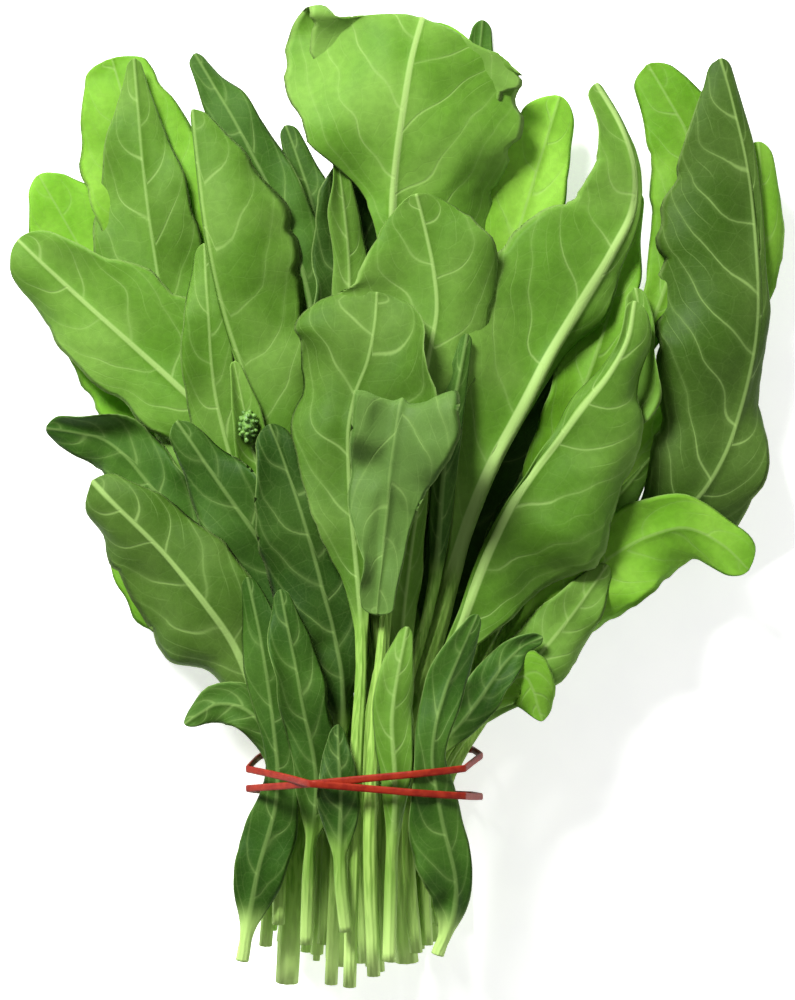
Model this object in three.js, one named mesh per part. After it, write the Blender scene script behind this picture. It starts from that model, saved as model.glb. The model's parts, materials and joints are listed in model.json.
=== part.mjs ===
// A bunch of spinach, lying on a flat surface, tied with a rubber band wound twice.
//
// Millimetres, +Z up. The bunch lies along Y: leaf tips towards +Y, cut stalk ends towards -Y.
// Leaves are laid out from the middle of the tie, x to the right and y towards the tips, and the
// whole is then moved so that its origin is the bottom centre of its bounding box.

import * as THREE from 'three';

// Driving dimensions

const BLADE_THICKNESS = 0.9;
const STALK_RADIUS = 2.2;
const THICK_STALK_RADIUS = 3.9;
const RIB_RADIUS_AT_TIP = 0.7;
const STALK_BLEND = 0.12;
const MARGIN_NOTCH = 0.10;
const WIDE_LEAF_HALF_WIDTH = 24;
const STALK_RINGS = 3;
const EXTRA_BLADE_RINGS = 3;

const LEAF_GAP = 0.8;
const PILE_CELL = 0.8;
const PILE_SAMPLE_STEP = 0.7;
const PILE_MAX_SLOPE = 0.16;
const PILE_SMOOTHING_CELLS = 9;
const PILE_PASSES = 6;
const RESTING_SINK = 2.0;

const WAIST_HALF_WIDTH = 32;
const WAIST_ROUND_FROM = 22;
const WAIST_ROUND_HEIGHT = 40;
const STALK_REACH = 9;
const STALK_REACH_COST = 0.5;
const WAIST_EDGE_COST = 8;
const STRAIGHT_BELOW_Y = 12;

const TIE_WIDTH = 2.4;
const TIE_THICKNESS = 1.2;
const TIE_GAP = 0.5;
const TIE_MAX_HALF_WIDTH = 44;
const TIE_Y = -1;
const TIE_SPREAD = 8;
const TIE_DIRECTIONS = 360;
const TIE_CROSSING_X = -19;
const TIE_CROSSING_LIFT = 2.0;
const TIE_CROSSING_REACH = 16;
const TIE_STEPS_PER_TURN = 24;
const TIE_CLOSEST_STOPS = 0.4;
const TIE_ROOM = TIE_THICKNESS + TIE_GAP + 0.2;
const TIE_ROOM_HALF_LENGTH = 12;

// Where the bounding box's centre lies, seen from the middle of the tie

const BOX_CENTRE_X = 10.5;
const BOX_CENTRE_Y = 92.5;

const TINTS = { mid: 0x6a9a45, dark: 0x47702f, lime: 0x83bd36 };

// The leaves, bottom of the pile first
//
// rib: points of the midrib from the cut end to the tip, [x, y] or [x, y, z]
// start: the part of the rib's length that is bare stalk
// left, right: half-widths of the blade at even steps from its start to its tip
// fold: angle between each half and the flat, degrees, up; curl: further turn at the margins
// wave: height of the margin's waves
// reach: how far to the side the stalk may settle, where it isn't the usual distance

const LEAVES = [
  {
    name: 'leaf_under_1', tint: 'dark', start: 0.42, wave: 0.8,
    rib: [[-33, -52], [-27, 0], [-46, 55], [-68, 98]],
    left: [2, 10, 15, 15, 9, 2], right: [2, 10, 16, 14, 8, 2],
  },
  {
    name: 'leaf_under_2', tint: 'mid', start: 0.42, wave: 0.8,
    rib: [[-25, -62], [-20, 0], [-46, 80], [-80, 158]],
    left: [2, 12, 20, 21, 15, 3], right: [2, 12, 20, 20, 14, 3],
  },
  {
    name: 'leaf_under_3', tint: 'mid', start: 0.40, wave: 0.8,
    rib: [[-16, -66], [-13, 0], [-28, 100], [-50, 200]],
    left: [2, 12, 19, 21, 15, 3], right: [2, 13, 20, 20, 14, 3],
  },
  {
    name: 'leaf_under_4', tint: 'dark', start: 0.40, wave: 0.8,
    rib: [[-7, -68], [-6, 0], [-8, 110], [-14, 200]],
    left: [2, 13, 20, 22, 16, 3], right: [2, 13, 21, 21, 14, 3],
  },
  {
    name: 'leaf_under_5', tint: 'mid', start: 0.40, wave: 0.8,
    rib: [[2, -68], [1, 0], [12, 110], [24, 225]],
    left: [2, 14, 24, 27, 18, 3], right: [2, 15, 25, 26, 18, 3],
  },
  {
    name: 'leaf_under_6', tint: 'mid', start: 0.40, wave: 0.8,
    rib: [[11, -66], [9, 0], [32, 105], [58, 198]],
    left: [2, 12, 20, 22, 15, 3], right: [2, 12, 20, 21, 15, 3],
  },
  {
    name: 'leaf_under_7', tint: 'dark', start: 0.42, wave: 0.8,
    rib: [[20, -62], [17, 0], [52, 88], [90, 160]],
    left: [2, 11, 18, 19, 13, 3], right: [2, 11, 18, 18, 12, 3],
  },
  {
    name: 'leaf_under_8', tint: 'mid', start: 0.44, wave: 0.8,
    rib: [[28, -58], [25, 0], [62, 62], [98, 106]],
    left: [2, 9, 14, 15, 10, 2], right: [2, 8, 13, 13, 9, 2],
  },
  {
    name: 'leaf_under_9', tint: 'dark', start: 0.40, wave: 0.8,
    rib: [[33, -50], [30, 0], [46, 40], [62, 74]],
    left: [2, 7, 10, 10, 7, 2], right: [2, 7, 10, 10, 6, 2],
  },
  {
    name: 'leaf_inner_1', tint: 'dark', start: 0.42, wave: 2, fold: [14, 14],
    rib: [[-22, -60], [-17, 0], [-38, 85], [-60, 150]],
    left: [2, 10, 16, 16, 11, 2], right: [2, 10, 16, 16, 10, 2],
  },
  {
    name: 'leaf_inner_2', tint: 'dark', start: 0.42, wave: 2, fold: [16, 16],
    rib: [[-10, -64], [-9, 0], [-18, 95], [-28, 178]],
    left: [2, 12, 18, 18, 12, 2], right: [2, 12, 18, 18, 12, 2],
  },
  {
    name: 'leaf_inner_3', tint: 'dark', start: 0.42, wave: 2, fold: [18, 18],
    rib: [[5, -66], [4, 0], [10, 95], [18, 168]],
    left: [2, 12, 18, 18, 12, 2], right: [2, 12, 18, 18, 12, 2],
  },
  {
    name: 'leaf_inner_4', tint: 'dark', start: 0.42, wave: 2, fold: [16, 16],
    rib: [[15, -62], [13, 0], [38, 85], [64, 152]],
    left: [2, 12, 17, 17, 12, 2], right: [2, 12, 17, 17, 11, 2],
  },
  {
    name: 'leaf_inner_5', tint: 'dark', start: 0.44, wave: 2, fold: [14, 14],
    rib: [[24, -55], [22, 0], [52, 70], [84, 132]],
    left: [2, 10, 15, 15, 10, 2], right: [2, 10, 15, 15, 9, 2],
  },
  {
    name: 'leaf_far_left_lime', tint: 'lime', start: 0.45, wave: 1.5, curl: [18, 18],
    rib: [[-30, -55], [-25, 0], [-58, 95], [-90, 165], [-111, 203]],
    left: [2, 10, 17, 22, 22, 19, 5], right: [2, 10, 17, 22, 24, 22, 6],
  },
  {
    name: 'leaf_left_back_lime', tint: 'lime', start: 0.45, wave: 1.5, curl: [12, 12],
    rib: [[-19, -62], [-16, 0], [-42, 100], [-66, 175], [-86, 243]],
    left: [2, 12, 20, 22, 22, 21, 12], right: [2, 12, 20, 24, 24, 21, 10],
  },
  {
    name: 'leaf_crown_tip', tint: 'dark', start: 0.50, wave: 1,
    rib: [[10, -60], [8, 0], [24, 120], [36, 210], [41, 256]],
    left: [2, 8, 12, 13, 12, 9, 3], right: [2, 8, 12, 13, 11, 8, 3],
  },
  {
    name: 'leaf_crown_back_lime', tint: 'lime', start: 0.45, wave: 2, curl: [14, 14],
    rib: [[4, -66], [4, 0], [13, 92], [19, 175], [24, 255]],
    left: [2, 14, 24, 29, 30, 27, 12], right: [2, 14, 24, 29, 30, 28, 13],
  },
  {
    name: 'leaf_right_back_lime', tint: 'lime', start: 0.48, wave: 1.5, curl: [20, 20],
    rib: [[14, -60], [11, 0], [34, 110], [52, 180], [67, 229]],
    left: [2, 11, 17, 19, 19, 17, 8], right: [2, 10, 14, 16, 15, 12, 6],
  },
  {
    name: 'leaf_right_inner_lime', tint: 'lime', start: 0.50, wave: 1.5,
    rib: [[20, -58], [18, 0], [56, 85], [82, 150], [93, 197]],
    left: [2, 8, 11, 12, 10, 3], right: [2, 8, 11, 11, 8, 3],
  },
  {
    name: 'leaf_far_right_top_lime', tint: 'lime', start: 0.62, wave: 1.5, curl: [-20, 10],
    rib: [[26, -52], [25, 0], [66, 90], [101, 160], [112, 208], [97, 240]],
    left: [2, 6, 10, 15, 15, 7], right: [2, 6, 10, 16, 14, 6],
  },
  {
    name: 'leaf_far_right_side_lime', tint: 'lime', start: 0.55, wave: 1.5, curl: [0, -20],
    rib: [[29, -50], [28, 0], [72, 80], [118, 140], [134, 180], [134, 213]],
    left: [2, 7, 10, 11, 9, 5], right: [2, 6, 9, 10, 9, 4],
  },
  {
    name: 'leaf_far_right', tint: 'mid', start: 0.38, wave: 2, fold: [8, -6], curl: [-25, -24],
    rib: [
      [32, -52], [31, 0], [61, 42], [89, 72], [114, 94], [128, 124], [133, 162], [130, 202], [121, 241],
    ],
    left: [2, 10, 20, 30, 36, 38, 34, 20, 4], right: [2, 10, 20, 14, 6, 4, 4, 4, 3],
  },
  {
    name: 'leaf_far_right_low_lime', tint: 'lime', start: 0.42, wave: 2.5, curl: [-14, -20],
    rib: [[31, -50], [30, 0], [60, 50], [87, 75], [112, 82], [130, 68]],
    left: [2, 8, 13, 14, 11, 5], right: [2, 12, 18, 18, 14, 5],
  },
  {
    name: 'leaf_left_tall', tint: 'mid', start: 0.48, wave: 1, fold: [-16, -16],
    rib: [[-22, -60], [-19, 0], [-48, 90], [-66, 150], [-74, 200], [-78, 242]],
    left: [2, 14, 22, 25, 21, 12, 2], right: [2, 14, 20, 20, 16, 10, 2],
  },
  {
    name: 'leaf_left_large', tint: 'mid', start: 0.46, wave: 1.5, curl: [-30, 14], fold: [0, 6],
    rib: [[-27, -58], [-23, 0], [-38, 88], [-50, 117], [-71, 138], [-101, 165], [-117, 180]],
    left: [2, 8, 14, 20, 21, 19, 8], right: [2, 12, 22, 27, 26, 20, 8],
  },
  {
    name: 'leaf_small_dark', tint: 'dark', start: 0.56, wave: 2.5, fold: [-20, 20],
    rib: [[-4, -62], [-4, 0], [-7, 72], [-12, 158], [-17, 192], [-26, 219]],
    left: [2, 6, 9, 11, 8, 3], right: [2, 6, 9, 10, 8, 3],
  },
  {
    name: 'leaf_narrow_dark', tint: 'dark', start: 0.50, wave: 2.5, fold: [-8, -8],
    rib: [[-7, -64], [-6, 0], [-11, 72], [-15, 125], [-19, 165], [-36, 206], [-57, 243]],
    left: [2, 8, 12, 14, 13, 10, 3], right: [2, 8, 12, 13, 11, 8, 2],
  },
  {
    name: 'leaf_hollow_dark', tint: 'dark', start: 0.56, wave: 3, fold: [28, -24], curl: [30, -20],
    rib: [[0, -62], [0, 0], [-2, 90], [-5, 160], [-5, 196], [3, 222]],
    left: [2, 8, 13, 14, 11, 3], right: [2, 8, 12, 13, 11, 3],
  },
  {
    name: 'leaf_small_pointed', tint: 'mid', start: 0.62, wave: 2, fold: [30, -10],
    rib: [[-3, -60], [-3, 0], [-4, 92], [-5, 175], [-9, 212]],
    left: [2, 5, 7, 5, 1.5], right: [2, 6, 8, 6, 1.5],
  },
  {
    name: 'leaf_left_inner', tint: 'mid', start: 0.52, wave: 2.5, curl: [20, 0],
    rib: [[-15, -62], [-14, 0], [-34, 72], [-49, 125], [-52, 158], [-53, 178]],
    left: [2, 7, 10, 11, 9, 3], right: [2, 7, 9, 9, 7, 3],
  },
  {
    name: 'leaf_left_front_tall', tint: 'mid', start: 0.44, wave: 1, fold: [-40, 10], curl: [0, -34],
    rib: [[-13, -66], [-11, 0], [-21, 72], [-33, 115], [-44, 148], [-52, 185], [-57, 223]],
    left: [1.5, 2, 2, 2, 2, 2, 1.5], right: [2, 12, 20, 26, 32, 26, 3],
  },
  {
    name: 'leaf_crown', tint: 'mid', start: 0.53, wave: 1.5, fold: [-4, -4], curl: [-14, -20],
    rib: [
      [2, -64], [2, 0], [4, 72], [8, 142], [10, 180, 3], [12, 210, 6], [17, 242, 6], [20, 253, 2],
      [18, 246, -3], [13, 226, -7],
    ],
    left: [2, 4, 5, 10, 38, 44, 42, 34], right: [2, 18, 31, 40, 43, 43, 42, 34],
  },
  {
    name: 'leaf_bud_shoot', tint: 'mid', start: 0.66, wave: 0.5, fold: [30, 10], curl: [30, 10],
    rib: [[-10, -58], [-9, 0], [-21, 58], [-36, 106], [-43, 138]],
    left: [2, 6, 8, 6, 2], right: [2, 5, 7, 6, 2],
  },
  {
    name: 'leaf_low_left_dark', tint: 'dark', start: 0.56, wave: 2.5, curl: [-30, 10],
    rib: [[-34, -48], [-29, 0], [-44, 58], [-70, 95], [-87, 112], [-107, 116]],
    left: [2, 8, 12, 14, 12, 4], right: [2, 8, 12, 13, 11, 4],
  },
  {
    name: 'leaf_low_left_lime', tint: 'lime', start: 0.58, wave: 2, curl: [-10, 10],
    rib: [[-32, -46], [-32, 0], [-46, 34], [-68, 58], [-86, 78]],
    left: [2, 8, 11, 11, 8, 3], right: [2, 8, 11, 11, 8, 3],
  },
  {
    name: 'leaf_right_cup', tint: 'mid', start: 0.54, wave: 1.5, fold: [24, 24], curl: [30, 40],
    rib: [[25, -55], [23, 0], [52, 72], [84, 112], [94, 140], [92, 163]],
    left: [2, 8, 12, 13, 11, 4], right: [2, 8, 11, 12, 10, 4],
  },
  {
    name: 'leaf_right_large', tint: 'mid', start: 0.40, wave: 1, radius: 'thick',
    fold: [8, -20], curl: [8, -30],
    rib: [[22, -62], [19, 0], [23, 38], [36, 85], [59, 132], [76, 162], [91, 190], [89, 214], [79, 233]],
    left: [2, 7, 20, 32, 38, 32, 22, 13, 4], right: [2, 2, 2, 4, 9, 9, 4, 3, 2],
  },
  {
    name: 'leaf_lower_right_small', tint: 'mid', start: 0.50, wave: 1, curl: [-10, -20],
    rib: [[28, -50], [27, 0], [52, 32], [69, 52], [82, 70]],
    left: [2, 7, 10, 11, 8, 3], right: [2, 7, 11, 12, 9, 3],
  },
  {
    name: 'leaf_lower_right_lime', tint: 'lime', start: 0.60, wave: 2, curl: [-20, -20], reach: 4,
    rib: [[28, -44], [27, 0], [43, 26], [54, 33], [60, 18]],
    left: [2, 7, 10, 8, 3], right: [2, 6, 8, 7, 2],
  },
  {
    name: 'leaf_lower_right_sprig', tint: 'dark', start: 0.55, wave: 2, fold: [20, 20],
    rib: [[30, -56], [30, 0], [38, 24], [52, 42], [60, 46]],
    left: [2, 6, 8, 6, 2], right: [2, 6, 7, 6, 2],
  },
  {
    name: 'leaf_right_jagged', tint: 'mid', start: 0.42, wave: 2.5, fold: [-20, -6], curl: [0, -24],
    rib: [[27, -58], [25, 0], [36, 58], [49, 88], [72, 120], [87, 141], [91, 158]],
    left: [2, 3, 3, 3, 4, 4, 3], right: [2, 20, 35, 38, 28, 15, 4], notch: 0.16,
  },
  {
    name: 'leaf_front_centre', tint: 'mid', start: 0.50, wave: 1, curl: [-16, -26],
    rib: [[8, -64], [7, 0], [11, 58], [16, 108], [21, 135], [25, 158], [22, 178], [18, 194]],
    left: [2, 10, 22, 35, 39, 27, 10], right: [2, 8, 14, 18, 21, 22, 10],
  },
  {
    name: 'leaf_front_left_waved', tint: 'dark', start: 0.44, wave: 3, fold: [14, -10], curl: [-24, 16],
    radius: 'thick', notch: 0.16,
    rib: [[-21, -71], [-17, 0], [-20, 42], [-31, 72], [-46, 95], [-62, 118]],
    left: [3, 12, 17, 16, 12, 4], right: [2, 10, 15, 16, 11, 4],
  },
  {
    name: 'leaf_front_waved', tint: 'dark', start: 0.44, wave: 2.5, fold: [8, -14], curl: [0, -20],
    notch: 0.14,
    rib: [[-11, -71], [-8, 0], [-7, 32], [-14, 65], [-24, 98], [-31, 117]],
    left: [2, 10, 16, 19, 15, 5], right: [2, 9, 14, 16, 12, 4],
  },
  {
    name: 'leaf_curled_low_left', tint: 'mid', start: 0.44, wave: 1.5, fold: [-8, -8],
    curl: [-40, -24],
    rib: [[-36, -58], [-33, 0], [-34, 22], [-44, 46], [-66, 74], [-90, 98]],
    left: [3, 16, 24, 23, 17, 6], right: [2, 14, 18, 18, 14, 6],
  },
  {
    name: 'leaf_narrow_right', tint: 'dark', start: 0.60, wave: 0.5, fold: [-16, -16],
    rib: [[17, -60], [16, 0], [23, 58], [28, 108], [35, 147]],
    left: [2, 4, 5, 5, 2], right: [2, 4, 5, 4, 2],
  },
  {
    name: 'leaf_centre_strip', tint: 'mid', start: 0.46, wave: 1, fold: [24, -24],
    rib: [[13, -64], [11, 0], [11, 28], [14, 58], [19, 92], [22, 106]],
    left: [2, 4, 5, 6, 5, 2], right: [2, 4, 5, 5, 4, 2],
  },
  {
    name: 'leaf_front_lobe', tint: 'mid', start: 0.50, wave: 1, fold: [-6, 4], curl: [-20, 50],
    rib: [[-5, -69], [-3, 0], [0, 45], [-4, 95], [-4, 120], [3, 142], [5, 161]],
    left: [2, 6, 12, 18, 24, 28, 24], right: [2, 7, 14, 24, 33, 31, 15],
  },
  {
    name: 'leaf_front_bent', tint: 'dark', start: 0.56, wave: 1.5, fold: [-10, -10], curl: [-16, -16],
    rib: [
      [4, -65], [3, 0], [9, 60], [13, 108], [14, 124, 3], [14, 129, 6], [13, 124, 9], [9, 96, 10],
      [5, 54, 8],
    ],
    left: [2, 8, 13, 17, 14, 9, 5], right: [2, 11, 20, 24, 13, 8, 5],
  },
  {
    name: 'leaf_left_sprig', tint: 'dark', start: 0.50, wave: 2, curl: [10, -20], reach: 3,
    rib: [[-31, -50], [-31, 0], [-36, 20], [-47, 24], [-59, 17]],
    left: [2, 5, 8, 7, 2], right: [2, 6, 9, 7, 2],
  },
  {
    name: 'leaf_stalk_left', tint: 'dark', start: 0.08, wave: 1.5, fold: [-16, 6], reach: 3,
    rib: [[-43, -62], [-38, -34], [-31, -6], [-30, 22], [-34, 48], [-38, 66]],
    left: [3, 8, 10, 5, 5, 8, 7, 2], right: [3, 9, 10, 7, 8, 10, 8, 2],
  },
  {
    name: 'leaf_stalk_middle', tint: 'dark', start: 0.30, wave: 1.5, fold: [10, -10], reach: 3,
    rib: [[-21, -56], [-20, -30], [-18, 0], [-21, 30], [-27, 62]],
    left: [2, 7, 8, 8, 9, 7, 2], right: [2, 9, 10, 9, 10, 7, 2],
  },
  {
    name: 'leaf_stalk_centre', tint: 'mid', start: 0.34, wave: 1.5, fold: [-12, -12], reach: 4,
    rib: [[6, -60], [7, -24], [8, 0], [10, 22], [15, 50]],
    left: [2, 4, 6, 7, 6, 2], right: [2, 4, 7, 8, 6, 2],
  },
  {
    name: 'leaf_stalk_small', tint: 'dark', start: 0.36, wave: 2, fold: [14, -14], reach: 3,
    rib: [[-3, -50], [-5, -30], [-5, -6], [-8, 18]],
    left: [2, 7, 8, 6, 2], right: [2, 6, 7, 5, 2],
  },
  {
    name: 'leaf_tie_right', tint: 'dark', start: 0.06, wave: 1.5, fold: [8, -14], reach: 3,
    rib: [[27, -58], [33, -40], [28, -12], [25, 10], [30, 36], [38, 54]],
    left: [3, 10, 13, 9, 6, 8, 7, 2], right: [2, 6, 8, 7, 5, 7, 6, 2],
  },
];

// Numbers drawn from a fixed seed

function seededRandom(seed) {
  let state = seed;
  return () => {
    state = (state * 1664525 + 1013904223) % 4294967296;
    return state / 4294967296;
  };
}

// A value read off a list spread evenly over 0 to 1, with smooth joins

function readList(list, t) {
  const place = Math.min(Math.max(t, 0), 1) * (list.length - 1);
  const i = Math.min(Math.floor(place), list.length - 2);
  const f = place - i;
  const before = list[Math.max(i - 1, 0)];
  const after = list[Math.min(i + 2, list.length - 1)];
  const slopeHere = (list[i + 1] - before) / 2;
  const slopeNext = (after - list[i]) / 2;
  const f2 = f * f;
  const f3 = f2 * f;
  return (2 * f3 - 3 * f2 + 1) * list[i] + (f3 - 2 * f2 + f) * slopeHere
    + (3 * f2 - 2 * f3) * list[i + 1] + (f3 - f2) * slopeNext;
}

function smoothStep(t) {
  const u = Math.min(Math.max(t, 0), 1);
  return u * u * (3 - 2 * u);
}

// A half blade's section: how far out and how far up a point is after arc length u,
// where the section leaves the rib at the fold angle and turns by the curl on its way out

function halfSection(u, width, fold, curl) {
  const turn = Math.abs(curl) < 0.01 ? 0.01 : curl;
  const radius = width / turn;
  return {
    out: radius * (Math.sin(fold + turn * u) - Math.sin(fold)),
    up: -radius * (Math.cos(fold + turn * u) - Math.cos(fold)),
    slope: fold + turn * u,
  };
}

// One leaf: rings of points round the rib, joined from the cut end to the tip
//
// A ring has its points in two rows, the upper face from left to right and the lower face from
// right to left. On the stalk they lie on a circle, and on the blade on its two faces.

function leafRings(leaf, waistShift, random) {
  const across = Math.max(...leaf.left, ...leaf.right) > WIDE_LEAF_HALF_WIDTH ? 7 : 5;
  const half = (across - 1) / 2;
  const points = leaf.rib.map(([x, y, z = 0]) => (
    new THREE.Vector3(x + (y < STRAIGHT_BELOW_Y ? waistShift : 0), y, z)
  ));
  const curve = new THREE.CatmullRomCurve3(points, false, 'centripetal');
  curve.arcLengthDivisions = 400;
  const bladeRings = leaf.left.length + EXTRA_BLADE_RINGS;
  const places = [];
  for (let i = 0; i < STALK_RINGS; i += 1) {
    places.push(leaf.start * i / STALK_RINGS);
  }
  for (let i = 0; i <= bladeRings; i += 1) {
    places.push(leaf.start + (1 - leaf.start) * i / bladeRings);
  }
  const fold = (leaf.fold ?? [0, 0]).map(THREE.MathUtils.degToRad);
  const curl = (leaf.curl ?? [0, 0]).map(THREE.MathUtils.degToRad);
  const stalk = leaf.radius === 'thick' ? THICK_STALK_RADIUS : STALK_RADIUS;
  const notch = leaf.notch ?? MARGIN_NOTCH;
  const phase = [random() * Math.PI * 2, random() * Math.PI * 2];
  const side = new THREE.Vector3(1, 0, 0);
  const rings = [];
  for (const s of places) {
    const centre = curve.getPointAt(s);
    const along = curve.getTangentAt(s);
    side.addScaledVector(along, -side.dot(along)).normalize();
    const up = new THREE.Vector3().crossVectors(side, along);
    const t = (s - leaf.start) / (1 - leaf.start);
    const flat = smoothStep((s - leaf.start + STALK_BLEND / 2) / STALK_BLEND);
    const radius = THREE.MathUtils.lerp(stalk, RIB_RADIUS_AT_TIP, Math.max(t, 0));
    const widths = [leaf.left, leaf.right].map((list) => {
      const jag = 1 - notch * random() * (t > 0.1 && t < 0.95 ? 1 : 0);
      return Math.max(readList(list, t) * jag, 1.5);
    });
    const upper = [];
    const lower = [];
    for (let j = 0; j < across; j += 1) {
      const q = (j - half) / half;
      const which = q < 0 ? 0 : 1;
      const sign = q < 0 ? -1 : 1;
      const width = widths[which] * flat;
      const section = halfSection(Math.abs(q), width, fold[which] * flat, curl[which] * flat);
      const ripple = leaf.wave * flat * q * q
        * Math.sin(phase[which] + t * Math.PI * 2 * (1 + leaf.left.length / 6));
      const tall = THREE.MathUtils.lerp(BLADE_THICKNESS / 2, radius * 0.45, q === 0 ? 1 : 0);
      const deep = THREE.MathUtils.lerp(BLADE_THICKNESS / 2, radius, q === 0 ? 1 : 0);
      const angle = (j - half) * Math.PI / across;
      const round = 1 - flat;
      for (const [row, face, depth] of [[upper, 1, tall], [lower, -1, deep]]) {
        const out = sign * section.out + radius * Math.sin(angle) * round
          - sign * Math.sin(section.slope) * face * depth * flat;
        const rise = section.up + ripple + face * radius * Math.cos(angle) * round
          + Math.cos(section.slope) * face * depth * flat;
        row.push(centre.clone().addScaledVector(side, out).addScaledVector(up, rise));
      }
    }
    rings.push([...upper, ...lower.reverse()]);
  }
  return rings;
}

// Triangles of a leaf, split alike on its upper and its lower face, with a closed cap at each end

function leafTriangles(ringCount, ringSize) {
  const across = ringSize / 2;
  const triangles = [];
  for (let i = 0; i < ringCount - 1; i += 1) {
    for (let j = 0; j < ringSize; j += 1) {
      const next = (j + 1) % ringSize;
      const a = i * ringSize + j;
      const b = i * ringSize + next;
      const c = a + ringSize;
      const d = b + ringSize;
      if (j < across) {
        triangles.push([a, d, c], [a, b, d]);
      } else {
        triangles.push([a, b, c], [b, d, c]);
      }
    }
  }
  const startCap = ringCount * ringSize;
  const tipCap = startCap + 1;
  const last = (ringCount - 1) * ringSize;
  for (let j = 0; j < ringSize; j += 1) {
    const next = (j + 1) % ringSize;
    triangles.push([startCap, next, j], [tipCap, last + j, last + next]);
  }
  return triangles;
}

function leafMesh(leaf, waistShift, random) {
  const rings = leafRings(leaf, waistShift, random);
  const vertices = rings.flat();
  for (const ring of [rings[0], rings[rings.length - 1]]) {
    const middle = new THREE.Vector3();
    ring.forEach((point) => middle.add(point));
    vertices.push(middle.divideScalar(ring.length));
  }
  const ringSize = rings[0].length;
  return { vertices, triangles: leafTriangles(rings.length, ringSize), ringSize };
}

// The pile: the height of what lies below, on a grid in plan

const PILE_MIN_X = -135;
const PILE_MIN_Y = -90;
const PILE_COLUMNS = Math.round(300 / PILE_CELL);
const PILE_ROWS = Math.round(370 / PILE_CELL);

function emptyPile() {
  const pile = new Float64Array(PILE_COLUMNS * PILE_ROWS);
  for (let row = 0; row < PILE_ROWS; row += 1) {
    const y = PILE_MIN_Y + row * PILE_CELL;
    const height = Math.abs(y) < TIE_ROOM_HALF_LENGTH ? TIE_ROOM - LEAF_GAP : -RESTING_SINK - LEAF_GAP;
    pile.fill(height, row * PILE_COLUMNS, (row + 1) * PILE_COLUMNS);
  }
  return pile;
}

function pileCell(x, y) {
  const column = Math.min(Math.max(Math.round((x - PILE_MIN_X) / PILE_CELL), 1), PILE_COLUMNS - 2);
  const row = Math.min(Math.max(Math.round((y - PILE_MIN_Y) / PILE_CELL), 1), PILE_ROWS - 2);
  return row * PILE_COLUMNS + column;
}

// Calls back with points spread over a mesh's triangles

function forSurfacePoints(vertices, triangles, call) {
  const point = new THREE.Vector3();
  for (const [ia, ib, ic] of triangles) {
    const a = vertices[ia];
    const b = vertices[ib];
    const c = vertices[ic];
    const longest = Math.max(a.distanceTo(b), b.distanceTo(c), c.distanceTo(a));
    const steps = Math.max(Math.ceil(longest / PILE_SAMPLE_STEP), 1);
    for (let i = 0; i <= steps; i += 1) {
      for (let j = 0; j <= steps - i; j += 1) {
        point.copy(a).multiplyScalar((steps - i - j) / steps);
        point.addScaledVector(b, i / steps).addScaledVector(c, j / steps);
        call(point);
      }
    }
  }
}

// The largest value, or the mean, of the cells within reach, along one direction of the grid

function largestAlong(grid, stride, count, reach) {
  const result = new Float64Array(grid.length);
  for (let cell = 0; cell < grid.length; cell += 1) {
    const place = Math.floor(cell / stride) % count;
    const last = cell + Math.min(reach, count - 1 - place) * stride;
    let value = -Infinity;
    for (let k = cell - Math.min(reach, place) * stride; k <= last; k += stride) {
      value = Math.max(value, grid[k]);
    }
    result[cell] = value;
  }
  return result;
}

function meanAlong(grid, stride, count, reach) {
  const result = new Float64Array(grid.length);
  for (let cell = 0; cell < grid.length; cell += 1) {
    const place = Math.floor(cell / stride) % count;
    const first = cell - Math.min(reach, place) * stride;
    const last = cell + Math.min(reach, count - 1 - place) * stride;
    let sum = 0;
    for (let k = first; k <= last; k += stride) {
      sum += grid[k];
    }
    result[cell] = sum / ((last - first) / stride + 1);
  }
  return result;
}

function smoothAbove(field) {
  const reach = PILE_SMOOTHING_CELLS;
  const rows = largestAlong(field, 1, PILE_COLUMNS, reach);
  const wide = largestAlong(rows, PILE_COLUMNS, PILE_ROWS, reach);
  return meanAlong(meanAlong(wide, 1, PILE_COLUMNS, reach), PILE_COLUMNS, PILE_ROWS, reach);
}

// Spreads each cell's need so that it falls away from its highest places at a limited slope

function limitSlope(need) {
  const field = Float64Array.from(need);
  const straight = PILE_MAX_SLOPE * PILE_CELL;
  const diagonal = straight * Math.SQRT2;
  const sweeps = [
    [1, PILE_ROWS - 1, 1, [[-1, straight], [-PILE_COLUMNS, straight],
      [-PILE_COLUMNS - 1, diagonal], [-PILE_COLUMNS + 1, diagonal]]],
    [PILE_ROWS - 2, 0, -1, [[1, straight], [PILE_COLUMNS, straight],
      [PILE_COLUMNS + 1, diagonal], [PILE_COLUMNS - 1, diagonal]]],
  ];
  for (const [from, to, step, neighbours] of sweeps) {
    for (let row = from; row !== to; row += step) {
      for (let k = 1; k < PILE_COLUMNS - 1; k += 1) {
        const column = step > 0 ? k : PILE_COLUMNS - 1 - k;
        const cell = row * PILE_COLUMNS + column;
        for (const [offset, drop] of neighbours) {
          field[cell] = Math.max(field[cell], field[cell + offset] - drop);
        }
      }
    }
  }
  return field;
}

function readField(field, x, y) {
  const column = Math.min(Math.max((x - PILE_MIN_X) / PILE_CELL, 0), PILE_COLUMNS - 1.001);
  const row = Math.min(Math.max((y - PILE_MIN_Y) / PILE_CELL, 0), PILE_ROWS - 1.001);
  const i = Math.floor(column);
  const j = Math.floor(row);
  const u = column - i;
  const v = row - j;
  const cell = j * PILE_COLUMNS + i;
  const near = field[cell] * (1 - u) + field[cell + 1] * u;
  const far = field[cell + PILE_COLUMNS] * (1 - u) + field[cell + PILE_COLUMNS + 1] * u;
  return near * (1 - v) + far * v;
}

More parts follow.
